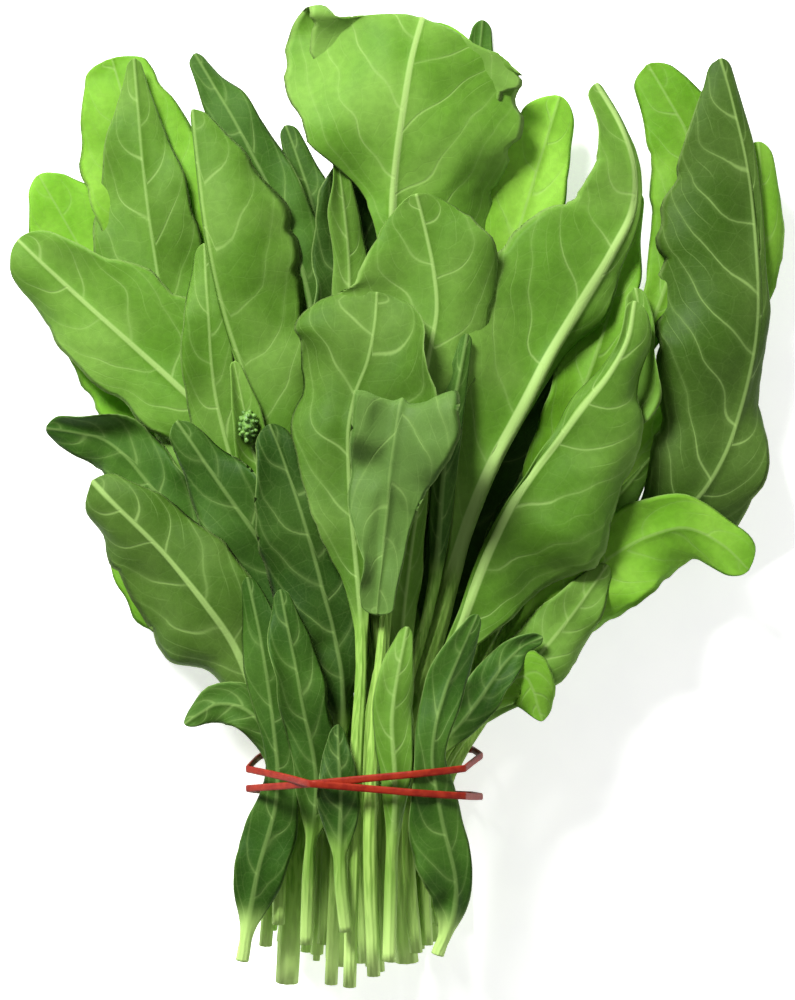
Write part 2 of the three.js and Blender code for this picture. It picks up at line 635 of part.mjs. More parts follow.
// How far to the side a stalk moves as it passes the tie, to lie in the lowest place within reach,
// in a waist that is rounded above

function settleStalk(leaf, pile) {
  const waist = leaf.rib.find(([, y]) => y > -STRAIGHT_BELOW_Y);
  const reach = leaf.reach ?? STALK_REACH;
  let best = 0;
  let lowestCost = Infinity;
  for (let shift = -reach; shift <= reach; shift += 0.5) {
    const x = waist[0] + shift;
    let height = 0;
    for (let u = -STALK_RADIUS; u <= STALK_RADIUS; u += PILE_CELL) {
      for (let y = -TIE_SPREAD; y <= TIE_SPREAD; y += PILE_CELL * 2) {
        height = Math.max(height, pile[pileCell(x + u, y)]);
      }
    }
    const rise = Math.max(height - WAIST_ROUND_FROM, 0) / WAIST_ROUND_HEIGHT;
    const halfWidth = WAIST_HALF_WIDTH * Math.sqrt(Math.max(1 - rise * rise, 0.05));
    const outside = Math.max(Math.abs(x) + STALK_RADIUS - halfWidth, 0);
    const cost = height + STALK_REACH_COST * Math.abs(shift) + WAIST_EDGE_COST * outside;
    if (cost < lowestCost) {
      lowestCost = cost;
      best = shift;
    }
  }
  return best;
}

// Lays a mesh on the pile: lifts it by a smooth height that depends only on the place in plan,
// so that a folded leaf keeps its form, until no part of it is nearer than the gap

function layOnPile(mesh, pile) {
  const { vertices, triangles } = mesh;
  const rest = vertices.map((vertex) => vertex.z);
  const need = new Float64Array(pile.length).fill(-Infinity);
  const lowest = Math.min(...rest);
  need.fill(-RESTING_SINK - lowest);
  for (let pass = 0; pass < PILE_PASSES; pass += 1) {
    const lift = smoothAbove(limitSlope(need));
    vertices.forEach((vertex, k) => {
      vertex.z = rest[k] + readField(lift, vertex.x, vertex.y);
    });
    let worst = 0;
    forSurfacePoints(vertices, triangles, (point) => {
      const cell = pileCell(point.x, point.y);
      const here = readField(lift, point.x, point.y);
      for (const offset of [0, -1, 1, -PILE_COLUMNS, PILE_COLUMNS]) {
        const short = pile[cell + offset] + LEAF_GAP - point.z;
        if (short > 0) {
          need[cell] = Math.max(need[cell], here + short);
          worst = Math.max(worst, short);
        }
      }
    });
    if (worst < 0.05) {
      break;
    }
  }
  forSurfacePoints(vertices, triangles, (point) => {
    const cell = pileCell(point.x, point.y);
    pile[cell] = Math.max(pile[cell], point.z);
  });
}

// Presses what would lie below the surface flat on it

function pressOnSurface({ vertices, ringSize }) {
  vertices.forEach((vertex, k) => {
    const upperFace = k % ringSize < ringSize / 2;
    vertex.z = Math.max(vertex.z, upperFace ? BLADE_THICKNESS : 0);
  });
}

// The convex outline of points in the plane of X and Z, anticlockwise

function convexOutline(points) {
  const sorted = [...points].sort((a, b) => a.x - b.x || a.z - b.z);
  const turn = (o, a, b) => (a.x - o.x) * (b.z - o.z) - (a.z - o.z) * (b.x - o.x);
  const chain = (list) => {
    const kept = [];
    for (const point of list) {
      while (kept.length > 1 && turn(kept[kept.length - 2], kept[kept.length - 1], point) <= 0) {
        kept.pop();
      }
      kept.push(point);
    }
    kept.pop();
    return kept;
  };
  return [...chain(sorted), ...chain(sorted.reverse())];
}

// One turn of the band's middle line round an outline: its points, the way each faces, and how
// far along the line each is

function bandTurn(outline) {
  const middle = {
    x: (Math.min(...outline.map((p) => p.x)) + Math.max(...outline.map((p) => p.x))) / 2,
    z: (Math.min(...outline.map((p) => p.z)) + Math.max(...outline.map((p) => p.z))) / 2,
  };
  const clear = TIE_GAP + TIE_THICKNESS / 2;
  const places = [];
  for (let k = 0; k < TIE_DIRECTIONS; k += 1) {
    const angle = k * 2 * Math.PI / TIE_DIRECTIONS;
    const radial = new THREE.Vector3(Math.cos(angle), 0, Math.sin(angle));
    const out = (p) => (p.x - middle.x) * radial.x + (p.z - middle.z) * radial.z;
    const furthest = outline.reduce((best, p) => (out(p) > out(best) ? p : best));
    const point = new THREE.Vector3(furthest.x, 0, furthest.z).addScaledVector(radial, clear);
    places.push({ point, radial });
  }
  let along = 0;
  places.forEach((place, k) => {
    const before = places[Math.max(k - 1, 0)].point;
    along += place.point.distanceTo(before);
    place.along = along;
  });
  const length = along + places[0].point.distanceTo(places[places.length - 1].point);
  return { places, length };
}

function pointOnTurn({ places, length }, wanted) {
  const along = wanted % length;
  const next = places.findIndex((place) => place.along > along);
  const after = places[next < 0 ? 0 : next];
  const before = places[(next < 0 ? places.length : next) - 1];
  const gap = (next < 0 ? length : after.along) - before.along;
  const share = gap > 0 ? (along - before.along) / gap : 0;
  return {
    point: before.point.clone().lerp(after.point, share),
    radial: before.radial.clone().lerp(after.radial, share).normalize(),
  };
}

// Where a turn's sections stand: even steps along it, and closer ones round its corners

function bandStops({ places, length }) {
  const stops = places.map(({ along }) => along);
  for (let k = 0; k < TIE_STEPS_PER_TURN; k += 1) {
    stops.push(k * length / TIE_STEPS_PER_TURN);
  }
  stops.sort((a, b) => a - b);
  const kept = [stops[0]];
  for (const stop of stops) {
    if (stop - kept[kept.length - 1] > TIE_CLOSEST_STOPS && length - stop > TIE_CLOSEST_STOPS) {
      kept.push(stop);
    }
  }
  return kept;
}

// The tie: a flat band wound twice round the stalks, whose turns cross once, above and at the left

function tieMesh(meshes) {
  const reach = TIE_SPREAD + TIE_WIDTH;
  const near = [];
  for (const { vertices, triangles } of meshes) {
    forSurfacePoints(vertices, triangles, (point) => {
      if (Math.abs(point.y - TIE_Y) < reach && Math.abs(point.x) < TIE_MAX_HALF_WIDTH) {
        near.push({ x: point.x, z: point.z });
      }
    });
  }
  const turn = bandTurn(convexOutline(near));
  const above = turn.places.filter(({ radial }) => radial.z > 0);
  const crossing = above.reduce((best, place) => (
    Math.abs(place.point.x - TIE_CROSSING_X) < Math.abs(best.point.x - TIE_CROSSING_X)
      ? place : best
  ));
  const stops = bandStops(turn);
  const steps = stops.length * 2;
  const path = [];
  for (let k = 0; k < steps; k += 1) {
    const along = stops[k % stops.length] + (k < stops.length ? 0 : turn.length);
    const { point, radial } = pointOnTurn(turn, along);
    const past = along - crossing.along;
    const lift = Math.abs(past) < TIE_CROSSING_REACH
      ? TIE_CROSSING_LIFT * (0.5 + 0.5 * Math.cos(Math.PI * past / TIE_CROSSING_REACH)) : 0;
    const centre = point.addScaledVector(radial, lift);
    centre.y = TIE_Y + TIE_SPREAD * Math.sin(past * Math.PI / turn.length);
    path.push({ centre, radial });
  }
  const section = [
    [0.5, 0.25], [0.3, 0.5], [-0.3, 0.5], [-0.5, 0.25],
    [-0.5, -0.25], [-0.3, -0.5], [0.3, -0.5], [0.5, -0.25],
  ];
  const vertices = [];
  const triangles = [];
  path.forEach(({ centre, radial }, k) => {
    const before = path[(k + steps - 1) % steps].centre;
    const after = path[(k + 1) % steps].centre;
    const along = after.clone().sub(before).normalize();
    const out = radial.clone().addScaledVector(along, -radial.dot(along)).normalize();
    const wide = new THREE.Vector3().crossVectors(along, out);
    for (const [w, h] of section) {
      vertices.push(centre.clone().addScaledVector(wide, w * TIE_WIDTH)
        .addScaledVector(out, h * TIE_THICKNESS));
    }
    for (let j = 0; j < section.length; j += 1) {
      const next = (j + 1) % section.length;
      const ahead = (k + 1) % steps;
      const a = k * section.length + j;
      const b = k * section.length + next;
      const c = ahead * section.length + j;
      const d = ahead * section.length + next;
      triangles.push([a, c, d], [a, d, b]);
    }
  });
  return { vertices, triangles };
}

function toMesh(name, { vertices, triangles }, color, roughness) {
  const geometry = new THREE.BufferGeometry();
  const position = vertices.flatMap(({ x, y, z }) => [x - BOX_CENTRE_X, y - BOX_CENTRE_Y, z]);
  geometry.setAttribute('position', new THREE.Float32BufferAttribute(position, 3));
  geometry.setIndex(triangles.flat());
  geometry.computeVertexNormals();
  const material = new THREE.MeshStandardMaterial({ color, roughness, metalness: 0 });
  const mesh = new THREE.Mesh(geometry, material);
  mesh.name = name;
  return mesh;
}

const bunch = new THREE.Group();
bunch.name = 'spinach_bunch';

const random = seededRandom(20);
const pile = emptyPile();
const leafShapes = [];
for (const leaf of LEAVES) {
  const shape = leafMesh(leaf, settleStalk(leaf, pile), random);
  layOnPile(shape, pile);
  pressOnSurface(shape);
  leafShapes.push(shape);
  bunch.add(toMesh(leaf.name, shape, TINTS[leaf.tint], 0.55));
}
bunch.add(toMesh('tie', tieMesh(leafShapes), 0xb8341f, 0.5));

export default bunch;
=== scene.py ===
"""A bunch of spinach, lying on a table and tied with a rubber band wound twice.

Lengths are in metres. The leaves' veins and surface fields are counted in millimetres.
"""

import json
import math
from types import SimpleNamespace

import bpy
import numpy as np
from bpy.props import (
    BoolProperty,
    FloatProperty,
    FloatVectorProperty,
    IntProperty,
    PointerProperty,
)
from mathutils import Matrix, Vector


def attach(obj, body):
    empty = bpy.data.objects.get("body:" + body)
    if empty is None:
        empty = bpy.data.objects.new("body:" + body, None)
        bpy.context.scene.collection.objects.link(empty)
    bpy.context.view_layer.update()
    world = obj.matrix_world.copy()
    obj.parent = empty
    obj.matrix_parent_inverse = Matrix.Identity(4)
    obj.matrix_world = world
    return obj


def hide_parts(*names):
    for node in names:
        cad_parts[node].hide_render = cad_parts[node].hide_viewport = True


bl_info = {
    "name": "Spinach Bunch",
    "version": (1, 0, 0),
    "blender": (4, 5, 0),
    "location": "View3D > Sidebar > Spinach",
    "description": "Finishes the leaves, the buds, the tie and the studio of a bunch of spinach",
    "category": "Mesh",
}

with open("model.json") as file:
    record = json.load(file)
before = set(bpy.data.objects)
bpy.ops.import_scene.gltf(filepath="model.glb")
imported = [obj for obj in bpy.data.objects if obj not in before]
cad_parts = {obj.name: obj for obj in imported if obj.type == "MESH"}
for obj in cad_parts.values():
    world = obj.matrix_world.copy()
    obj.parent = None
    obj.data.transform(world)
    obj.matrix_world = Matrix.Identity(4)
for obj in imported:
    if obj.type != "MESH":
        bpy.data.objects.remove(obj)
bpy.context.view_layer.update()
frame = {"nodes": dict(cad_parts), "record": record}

MILLIMETRE = 0.001
WELD_DISTANCE = 1e-5

# How a solid leaf is built: the fewest links of the corner in the middle of an end, the links of a
# left edge's corner to the next ring, and the number of rings on the bare stalk
CAP_LINKS = 9
LEFT_EDGE_LINKS = 3
STALK_RING_COUNT = 3

# A leaf's surface: rows for each ring of the stalk, on the blade and at the rounded tip, the
# distance between rows as a share of the grid step, and columns on each side of the midrib
STALK_ROWS_A_RING = 4
LEAST_BLADE_ROWS = 12
TIP_ROWS = 8
ROW_STEP = 1.25
LEAST_COLUMNS = 8
MOST_COLUMNS = 24
COLUMN_CROWDING = 1.2
NORMAL_EASING_ROUNDS = 3

# A midrib: how far it stands out above as a share of below, its least radius in metres, and how
# far it spreads into the blade as a share of its radius
RIB_ABOVE = 0.45
LEAST_RIB = 0.4 * MILLIMETRE
RIB_SPREAD = 0.85
RIDGES_ACROSS_STALK = 4.5

# Side veins: their closest and widest spacing in millimetres, their slope and bend, and how far
# they turn to the tip at the margin and are shifted on the right, as shares of the spacing
CLOSEST_VEINS = 8.0
WIDEST_VEINS = 21.0
VEIN_SLOPE = 0.62
VEIN_BEND = 0.008
VEIN_LOOP = 0.9
VEIN_STAGGER = 0.4

# Wavelength in millimetres and height, as a share of the spacing, of the side veins' wandering
VEIN_WANDERING = ((60.0, 0.15), (17.0, 0.07))

# A margin's notches and lobes: the deepest notch in usual depths, the lobes' shift between the two
# sides, and the share and the length in millimetres over which their spacing varies
MOST_NOTCH = 1.5
LOBE_SHIFT = 0.31
LOBE_SWAY = 0.25
LOBE_SWAY_LENGTH = 19.0

# How far apart, in millimetres, noise is read for the two margins, so that they differ
SIDES_APART = 40.0
RUFFLE_SIDES_APART = 50.0

# A blade's swellings, in millimetres: where they begin beside the midrib, over what width they
# rise, and the wavelengths of their strength and of the slow waves
QUILT_START = 1.5
QUILT_RISE = 7.0
QUILT_PATCHES = 30.0
SLOW_WAVES = 46.0

# Shares: the even part of the swellings' strength, how much of the slow waves and the sharp folds
# there is beside the midrib, and how high the fine ruffles are beside the broad ones
EVEN_QUILT = 0.75
WAVES_AT_RIB = 0.3
FOLDS_AT_RIB = 0.4
FINE_RUFFLE = 0.12

# Over these lengths in millimetres a blade begins to swell and takes its own colour
SWELLING_START = 12.0
COLOUR_START = 10.0

# A blade lies flat at the tie: half the flat stretch and the length over which it ends, in metres
FLAT_AT_TIE = 0.006
TIE_EASING = 0.02

# A tip is rounded over at most this many of its half widths
LONGEST_TIP = 1.2

# Waves in one field of soft noise, and how far their lengths differ
NOISE_WAVES = 5
SLOWEST_WAVE = 0.7
FASTEST_WAVE = 1.4

# Sharp folds run at these angles, and bend over a wave of this length and height, both counted in
# spacings of the folds
FOLD_ANGLES = (0.5, 1.7, 2.6)
FOLD_BEND_LENGTH = 2.2
FOLD_BEND = 0.3

# Half blades narrower than the first, in millimetres, keep only a share of the waves, and those
# broader than the second are fully waved
NARROW_HALF = 2.0
BROAD_HALF = 11.0
NARROW_WAVES = 0.12

LEAF_LOOKS = {
    row["node"]: row["material_slot"]
    for row in frame["record"]["subparts"]
    if row["node"].startswith("leaf_")
}

# How much darker or lighter a leaf is than others of its kind; one tone holds painted shade and one
# painted light
LEAF_TONES = {
    "leaf_far_right": 0.35,
    "leaf_front_lobe": 0.56,
    "leaf_front_bent": 0.70,
    "leaf_front_centre": 0.72,
    "leaf_front_waved": 0.50,
    "leaf_front_left_waved": 0.62,
    "leaf_curled_low_left": 0.44,
    "leaf_left_large": 0.86,
    "leaf_left_tall": 0.72,
    "leaf_left_front_tall": 0.70,
    "leaf_crown": 0.92,
    "leaf_right_large": 0.84,
    "leaf_right_jagged": 0.70,
    # painted shade: this leaf's tone is lowered partly for the dark gap it lies in
    "leaf_hollow_dark": 0.45,
    "leaf_small_dark": 0.55,
    "leaf_stalk_middle": 0.65,
    "leaf_stalk_small": 0.65,
    # painted light: this leaf's tone is raised to lift the shade it lies in
    "leaf_far_right_low_lime": 0.84,
    "leaf_left_back_lime": 0.80,
    "leaf_far_left_lime": 0.90,
    "leaf_right_back_lime": 0.88,
    "leaf_far_right_top_lime": 0.66,
}
DARKEST_TONE = 0.62
LIGHTEST_TONE = 0.82

# Leaves whose tips are squarer than others': the length over which the tip is rounded
LEAF_TIPS = {
    "leaf_front_bent": 0.0025,
    "leaf_left_back_lime": 0.004,
    "leaf_far_left_lime": 0.005,
    "leaf_far_right_top_lime": 0.005,
    "leaf_far_right_low_lime": 0.005,
    "leaf_lower_right_small": 0.004,
    "leaf_left_sprig": 0.004,
}

# Height and spacing, in millimetres, of the sharp folds of the leaves that are crumpled
LEAF_CRUMPLES = {
    "leaf_front_bent": (10.0, 12.0),
    "leaf_hollow_dark": (5.0, 12.0),
    "leaf_small_dark": (4.0, 12.0),
    "leaf_stalk_middle": (2.5, 10.0),
    "leaf_stalk_left": (3.0, 12.0),
    "leaf_left_sprig": (3.0, 9.0),
    "leaf_tie_right": (2.5, 10.0),
    "leaf_front_waved": (5.5, 13.0),
    "leaf_front_left_waved": (4.5, 14.0),
    "leaf_low_left_dark": (7.0, 15.0),
    "leaf_curled_low_left": (6.0, 22.0),
    "leaf_right_jagged": (9.0, 19.0),
    "leaf_lower_right_small": (4.0, 12.0),
    "leaf_lower_right_lime": (3.0, 12.0),
    "leaf_lower_right_sprig": (3.0, 9.0),
    "leaf_narrow_dark": (3.5, 14.0),
    "leaf_front_lobe": (5.0, 22.0),
}
SOFT_FOLDS = (3.6, 25.0)
FOLD_REST = 0.4

# How plainly a leaf's midrib shows, between 0 and 1
LEAF_RIBS = {
    "leaf_right_large": 1.0,
    "leaf_crown": 0.8,
    "leaf_left_large": 0.6,
    "leaf_curled_low_left": 0.55,
    "leaf_right_jagged": 0.65,
    "leaf_front_centre": 0.45,
    "leaf_left_tall": 0.15,
    "leaf_left_front_tall": 0.2,
    "leaf_front_bent": 0.1,
}
PLAIN_RIB = 0.3


# Smooth curves and waves

def smooth_step(values):
    """Goes smoothly from 0 to 1 as its values do."""
    share = np.clip(values, 0.0, 1.0)
    return share * share * (3.0 - 2.0 * share)


def smooth_through(rows, knots, places):
    """A smooth curve through the rows, which stand at the knots, read at the places."""
    shape = (-1,) + (1,) * (rows.ndim - 1)
    steps = np.diff(knots)
    slopes = np.diff(rows, axis=0) / steps.reshape(shape)
    before = steps[:-1].reshape(shape)
    after = steps[1:].reshape(shape)
    inner = (slopes[:-1] * after + slopes[1:] * before) / (before + after)
    tangents = np.concatenate([slopes[:1], inner, slopes[-1:]])
    i = np.clip(np.searchsorted(knots, places, side="right") - 1, 0, len(steps) - 1)
    length = steps[i].reshape(shape)
    f = ((places - knots[i]) / steps[i]).reshape(shape)
    return (
        (2 * f**3 - 3 * f**2 + 1) * rows[i]
        + (f**3 - 2 * f**2 + f) * length * tangents[i]
        + (3 * f**2 - 2 * f**3) * rows[i + 1]
        + (f**3 - f**2) * length * tangents[i + 1]
    )


def rising_outwards(edge, at_rib):
    """A share that grows from its value at the midrib to 1 at the margin."""
    return at_rib + (1.0 - at_rib) * edge


def soft_noise(random, across, along, wavelength):
    """A smooth uneven field between about -1 and 1, with bumps near one wavelength apart."""
    total = np.zeros_like(along)
    for _ in range(NOISE_WAVES):
        angle = random.uniform(0, math.pi)
        pace = random.uniform(SLOWEST_WAVE, FASTEST_WAVE) * 2 * math.pi / wavelength
        phase = random.uniform(0, 2 * math.pi)
        total += np.sin((np.cos(angle) * across + np.sin(angle) * along) * pace + phase)
    return total / math.sqrt(NOISE_WAVES)


def sharp_folds(random, across, along, wavelength):
    """Uneven folds with sharp valleys, between 0 and 1."""
    bend = soft_noise(random, across, along, wavelength * FOLD_BEND_LENGTH)
    bend = bend * wavelength * FOLD_BEND
    total = np.zeros_like(along)
    for angle in FOLD_ANGLES:
        run = np.cos(angle) * across + np.sin(angle) * along + bend
        total += np.abs(np.mod(run / wavelength + random.uniform(0, 2), 2.0) - 1.0)
    return total / len(FOLD_ANGLES)


# The solids' meshes

def welded_mesh(name):
    """Corners and triangles of a solid's mesh, where corners at one place are made one."""
    mesh = frame["nodes"][name].data
    mesh.calc_loop_triangles()
    points = np.zeros(len(mesh.vertices) * 3)
    mesh.vertices.foreach_get("co", points)
    points = points.reshape(-1, 3)
    corners = np.zeros(len(mesh.loop_triangles) * 3, dtype=int)
    mesh.loop_triangles.foreach_get("vertices", corners)
    places = np.round(points / WELD_DISTANCE).astype(int)
    _, first, index = np.unique(places, axis=0, return_index=True, return_inverse=True)
    return points[first], index.reshape(-1)[corners].reshape(-1, 3)


def rings_along(name):
    """A leaf's corners as rings from its cut end to its tip.

    Each ring runs from the left edge over the upper face to the right edge and back below.
    """
    points, triangles = welded_mesh(name)
    links = [set() for _ in points]
    for triangle in triangles:
        for corner in triangle:
            links[corner].update(triangle)
    for corner, near in enumerate(links):
        near.discard(corner)
    caps = [corner for corner, near in enumerate(links) if len(near) >= CAP_LINKS]
    start = min(caps, key=lambda corner: points[corner][1])
    size = len(links[start])
    seen = {start}
    inner = {start}
    rings = []
    while True:
        outer = set().union(*(links[corner] for corner in inner)) - seen
        if len(outer) < size:
            break
        follow = {}
        for triangle in triangles:
            for k in range(3):
                apex, ahead, here = (triangle[(k + step) % 3] for step in range(3))
                if apex in inner and ahead in outer and here in outer:
                    follow[here] = ahead
        ring = [next(iter(follow))]
        while len(ring) < size:
            ring.append(follow[ring[-1]])
        rings.append(ring)
        seen |= outer
        inner = outer
    votes = [0] * size
    for ring, beyond in zip(rings, rings[1:]):
        straight = [
            sum(beyond[(k + turn) % size] in links[corner] for k, corner in enumerate(ring))
            for turn in range(size)
        ]
        turn = straight.index(max(straight))
        beyond[:] = beyond[turn:] + beyond[:turn]
        for k, corner in enumerate(ring):
            votes[k] += len(links[corner] & set(beyond)) == LEFT_EDGE_LINKS
    left = votes.index(max(votes))
    rings = [ring[left:] + ring[:left] for ring in rings]
    return np.array([[points[corner] for corner in ring] for ring in rings])


# A leaf's sheet: its middle surface, thickness and the fields that its veins follow

def coarse_rows(rings, places):
    """The middle surface's rows at the given places across, and the rib's radius, per ring."""
    count = rings.shape[1] // 2
    half = count // 2
    upper = rings[:, :count]
    lower = rings[:, ::-1][:, :count]
    flat = np.ones(len(rings))
    flat[:STALK_RING_COUNT] = 0.0
    flat[STALK_RING_COUNT] = 0.5
    rise = upper[:, half] - lower[:, half]
    tall = np.linalg.norm(rise, axis=1)
    radius = tall / (2.0 - (1.0 - RIB_ABOVE) * flat)
    middle = (upper + lower) / 2
    middle[:, half] = lower[:, half] + rise / tall[:, None] * radius[:, None]
    rows = smooth_through(middle.transpose(1, 0, 2), np.arange(count), half + places * half)
    rows = rows.transpose(1, 0, 2).copy()
    for i in range(STALK_RING_COUNT):
        side = middle[i, -1] - middle[i, 0]
        side /= np.linalg.norm(side)
        reach = radius[i] * np.sin(places * math.pi / 2)
        rows[i] = middle[i, half] + side * reach[:, None]
    return rows, radius, flat, middle[:, half]


def lengthwise_places(knots, step, tip_length):
    """Places along a leaf: wide apart on the stalk, and closer where the tip is rounded."""
    blade = knots[STALK_RING_COUNT]
    stalk = np.linspace(0, blade, STALK_ROWS_A_RING * STALK_RING_COUNT, endpoint=False)
    round_from = knots[-1] - tip_length
    count = max(int((round_from - blade) / step), LEAST_BLADE_ROWS)
    body = np.linspace(blade, round_from, count, endpoint=False)
    turn = np.linspace(0, math.pi / 2, TIP_ROWS)
    return np.concatenate([stalk, body, round_from + tip_length * np.sin(turn)])


def read_across(sheet, places, wanted):
    """Each row of the sheet, read at its own places across."""
    result = np.empty_like(sheet)
    for i in range(len(sheet)):
        for axis in range(3):
            result[i, :, axis] = np.interp(wanted[i], places, sheet[i, :, axis])
    return result


def sheet_normals(sheet):
    """The directions in which the sheet's upper face looks, eased between neighbours."""
    forward = np.gradient(sheet, axis=0)
    right = np.gradient(sheet, axis=1)
    normal = np.cross(right, forward)
    normal[-1] = normal[-2]
    normal = normal / np.maximum(np.linalg.norm(normal, axis=2, keepdims=True), 1e-12)
    for _ in range(NORMAL_EASING_ROUNDS):
        framed = np.pad(normal, ((1, 1), (1, 1), (0, 0)), mode="edge")
        along = framed[:-2, 1:-1] + framed[2:, 1:-1]
        across = framed[1:-1, :-2] + framed[1:-1, 2:]
        normal = normal / 2 + (along + across) / 8
    return normal / np.maximum(np.linalg.norm(normal, axis=2, keepdims=True), 1e-12)


def column_places(half_width, spacing):
    """Places across from -1 to 1, closer together beside the midrib."""
    count = int(np.clip(half_width / spacing, LEAST_COLUMNS, MOST_COLUMNS))
    side = (np.arange(1, count + 1) / count) ** COLUMN_CROWDING
    return np.concatenate([-side[::-1], [0.0], side])


def margin_cuts(places, along, flat, settings, random):
    """Shares of the half blades that notches and the corners between lobes take away."""
    forward = np.repeat(along[:, None] / MILLIMETRE, len(places), axis=1)
    sides = np.sign(places)[None, :]
    notch_step = settings.notch_length / MILLIMETRE
    notch = soft_noise(random, sides * SIDES_APART, forward, notch_step)
    notch = settings.notch_depth * np.clip(notch, 0.0, MOST_NOTCH) * flat
    lobe_place = forward / (settings.lobe_length / MILLIMETRE) + sides * LOBE_SHIFT
    sway = LOBE_SWAY * np.sin(forward / LOBE_SWAY_LENGTH + sides)
    lobe_place = lobe_place + random.uniform(0, 1) + sway
    corner = (1.0 - np.abs(np.sin(math.pi * lobe_place))) ** 3
    return notch + settings.lobe_depth * corner * flat


def broad_share(sheet, places):
    """0 where a half blade is narrow and 1 where it is broad."""
    middle = len(places) // 2
    reach = np.linalg.norm(sheet[:, [0, -1]] - sheet[:, [middle]], axis=2) / MILLIMETRE
    reach = np.where(places[None, :] < 0, reach[:, :1], reach[:, 1:])
    return smooth_step((reach - NARROW_HALF) / (BROAD_HALF - NARROW_HALF))


def leaf_fields(sheet, places, along, blade_from, settings, random):
    """Distances on the leaf in millimetres, and the place that counts from vein to vein."""
    centre = len(places) // 2
    steps = np.linalg.norm(np.diff(sheet, axis=1), axis=2)
    across = np.concatenate([np.zeros((len(sheet), 1)), np.cumsum(steps, axis=1)], axis=1)
    across = (across - across[:, centre:centre + 1]) / MILLIMETRE
    forward = np.repeat(((along - blade_from) / MILLIMETRE)[:, None], len(places), axis=1)
    spacing = np.clip(forward[-1, 0] / settings.veins_a_side, CLOSEST_VEINS, WIDEST_VEINS)
    out = np.abs(across)
    edge = np.abs(places)[None, :] * np.ones_like(forward)
    uneven = sum(
        soft_noise(random, across, forward, wavelength) * height * spacing
        for wavelength, height in VEIN_WANDERING
    )
    looping = edge**3 * spacing * VEIN_LOOP
    lateral = forward - VEIN_SLOPE * out - VEIN_BEND * out**2 - looping + uneven
    lateral = lateral + (across > 0) * VEIN_STAGGER * spacing
    return SimpleNamespace(
        across=across, forward=forward, lateral=lateral, spacing=spacing, edge=edge
    )


def blade_lift(name, places, fields, settings, random):
    """How far a blade swells between its veins, waves, ruffles and folds."""
    across, forward, edge = fields.across, fields.forward, fields.edge
    sides = np.sign(places)[None, :]
    quilt = np.sin(math.pi * fields.lateral / fields.spacing) ** 2
    quilt = quilt * smooth_step((np.abs(across) - QUILT_START) / QUILT_RISE) * (1.0 - edge**4)
    patches = soft_noise(random, across, forward, QUILT_PATCHES)
    quilt = quilt * (EVEN_QUILT + (1.0 - EVEN_QUILT) * patches)
    bulge = soft_noise(random, across, forward, SLOW_WAVES) * rising_outwards(edge, WAVES_AT_RIB)
    fold_height, fold_length = LEAF_CRUMPLES.get(name, SOFT_FOLDS)
    folds = sharp_folds(random, across, forward, fold_length) - FOLD_REST
    ruffle_step = settings.ruffle_length / MILLIMETRE
    margin = (
        soft_noise(random, sides * RUFFLE_SIDES_APART, forward, ruffle_step)
        + FINE_RUFFLE * soft_noise(random, sides * SIDES_APART, forward, ruffle_step / 3)
    )
    return (
        settings.quilting * quilt
        + settings.unevenness * bulge
        + settings.ruffle_height * margin * edge**3
        + fold_height * MILLIMETRE * folds * rising_outwards(edge, FOLDS_AT_RIB)
    )


def faces_from_sheet(places, fields, radius, flat, settings):
    """Distances from the sheet to the leaf's upper and lower face, which meet at the margins."""
    edge = fields.edge
    thin = settings.blade_thickness / 2 * np.sqrt(1.0 - np.minimum(edge, 1.0) ** 6)
    rib = np.exp(-((fields.across * MILLIMETRE / (radius * RIB_SPREAD)) ** 2)) * radius
    circle = radius * np.cos(places[None, :] * math.pi / 2)
    ridge = np.cos(places[None, :] * math.pi * RIDGES_ACROSS_STALK)
    ridge = 1.0 + settings.stalk_ridges * ridge
    above = flat * (thin + rib * RIB_ABOVE) + (1.0 - flat) * circle * ridge
    below = flat * (thin + rib) + (1.0 - flat) * circle * ridge
    above[:, [0, -1]] = 0.0
    below[:, [0, -1]] = 0.0
    return above, below


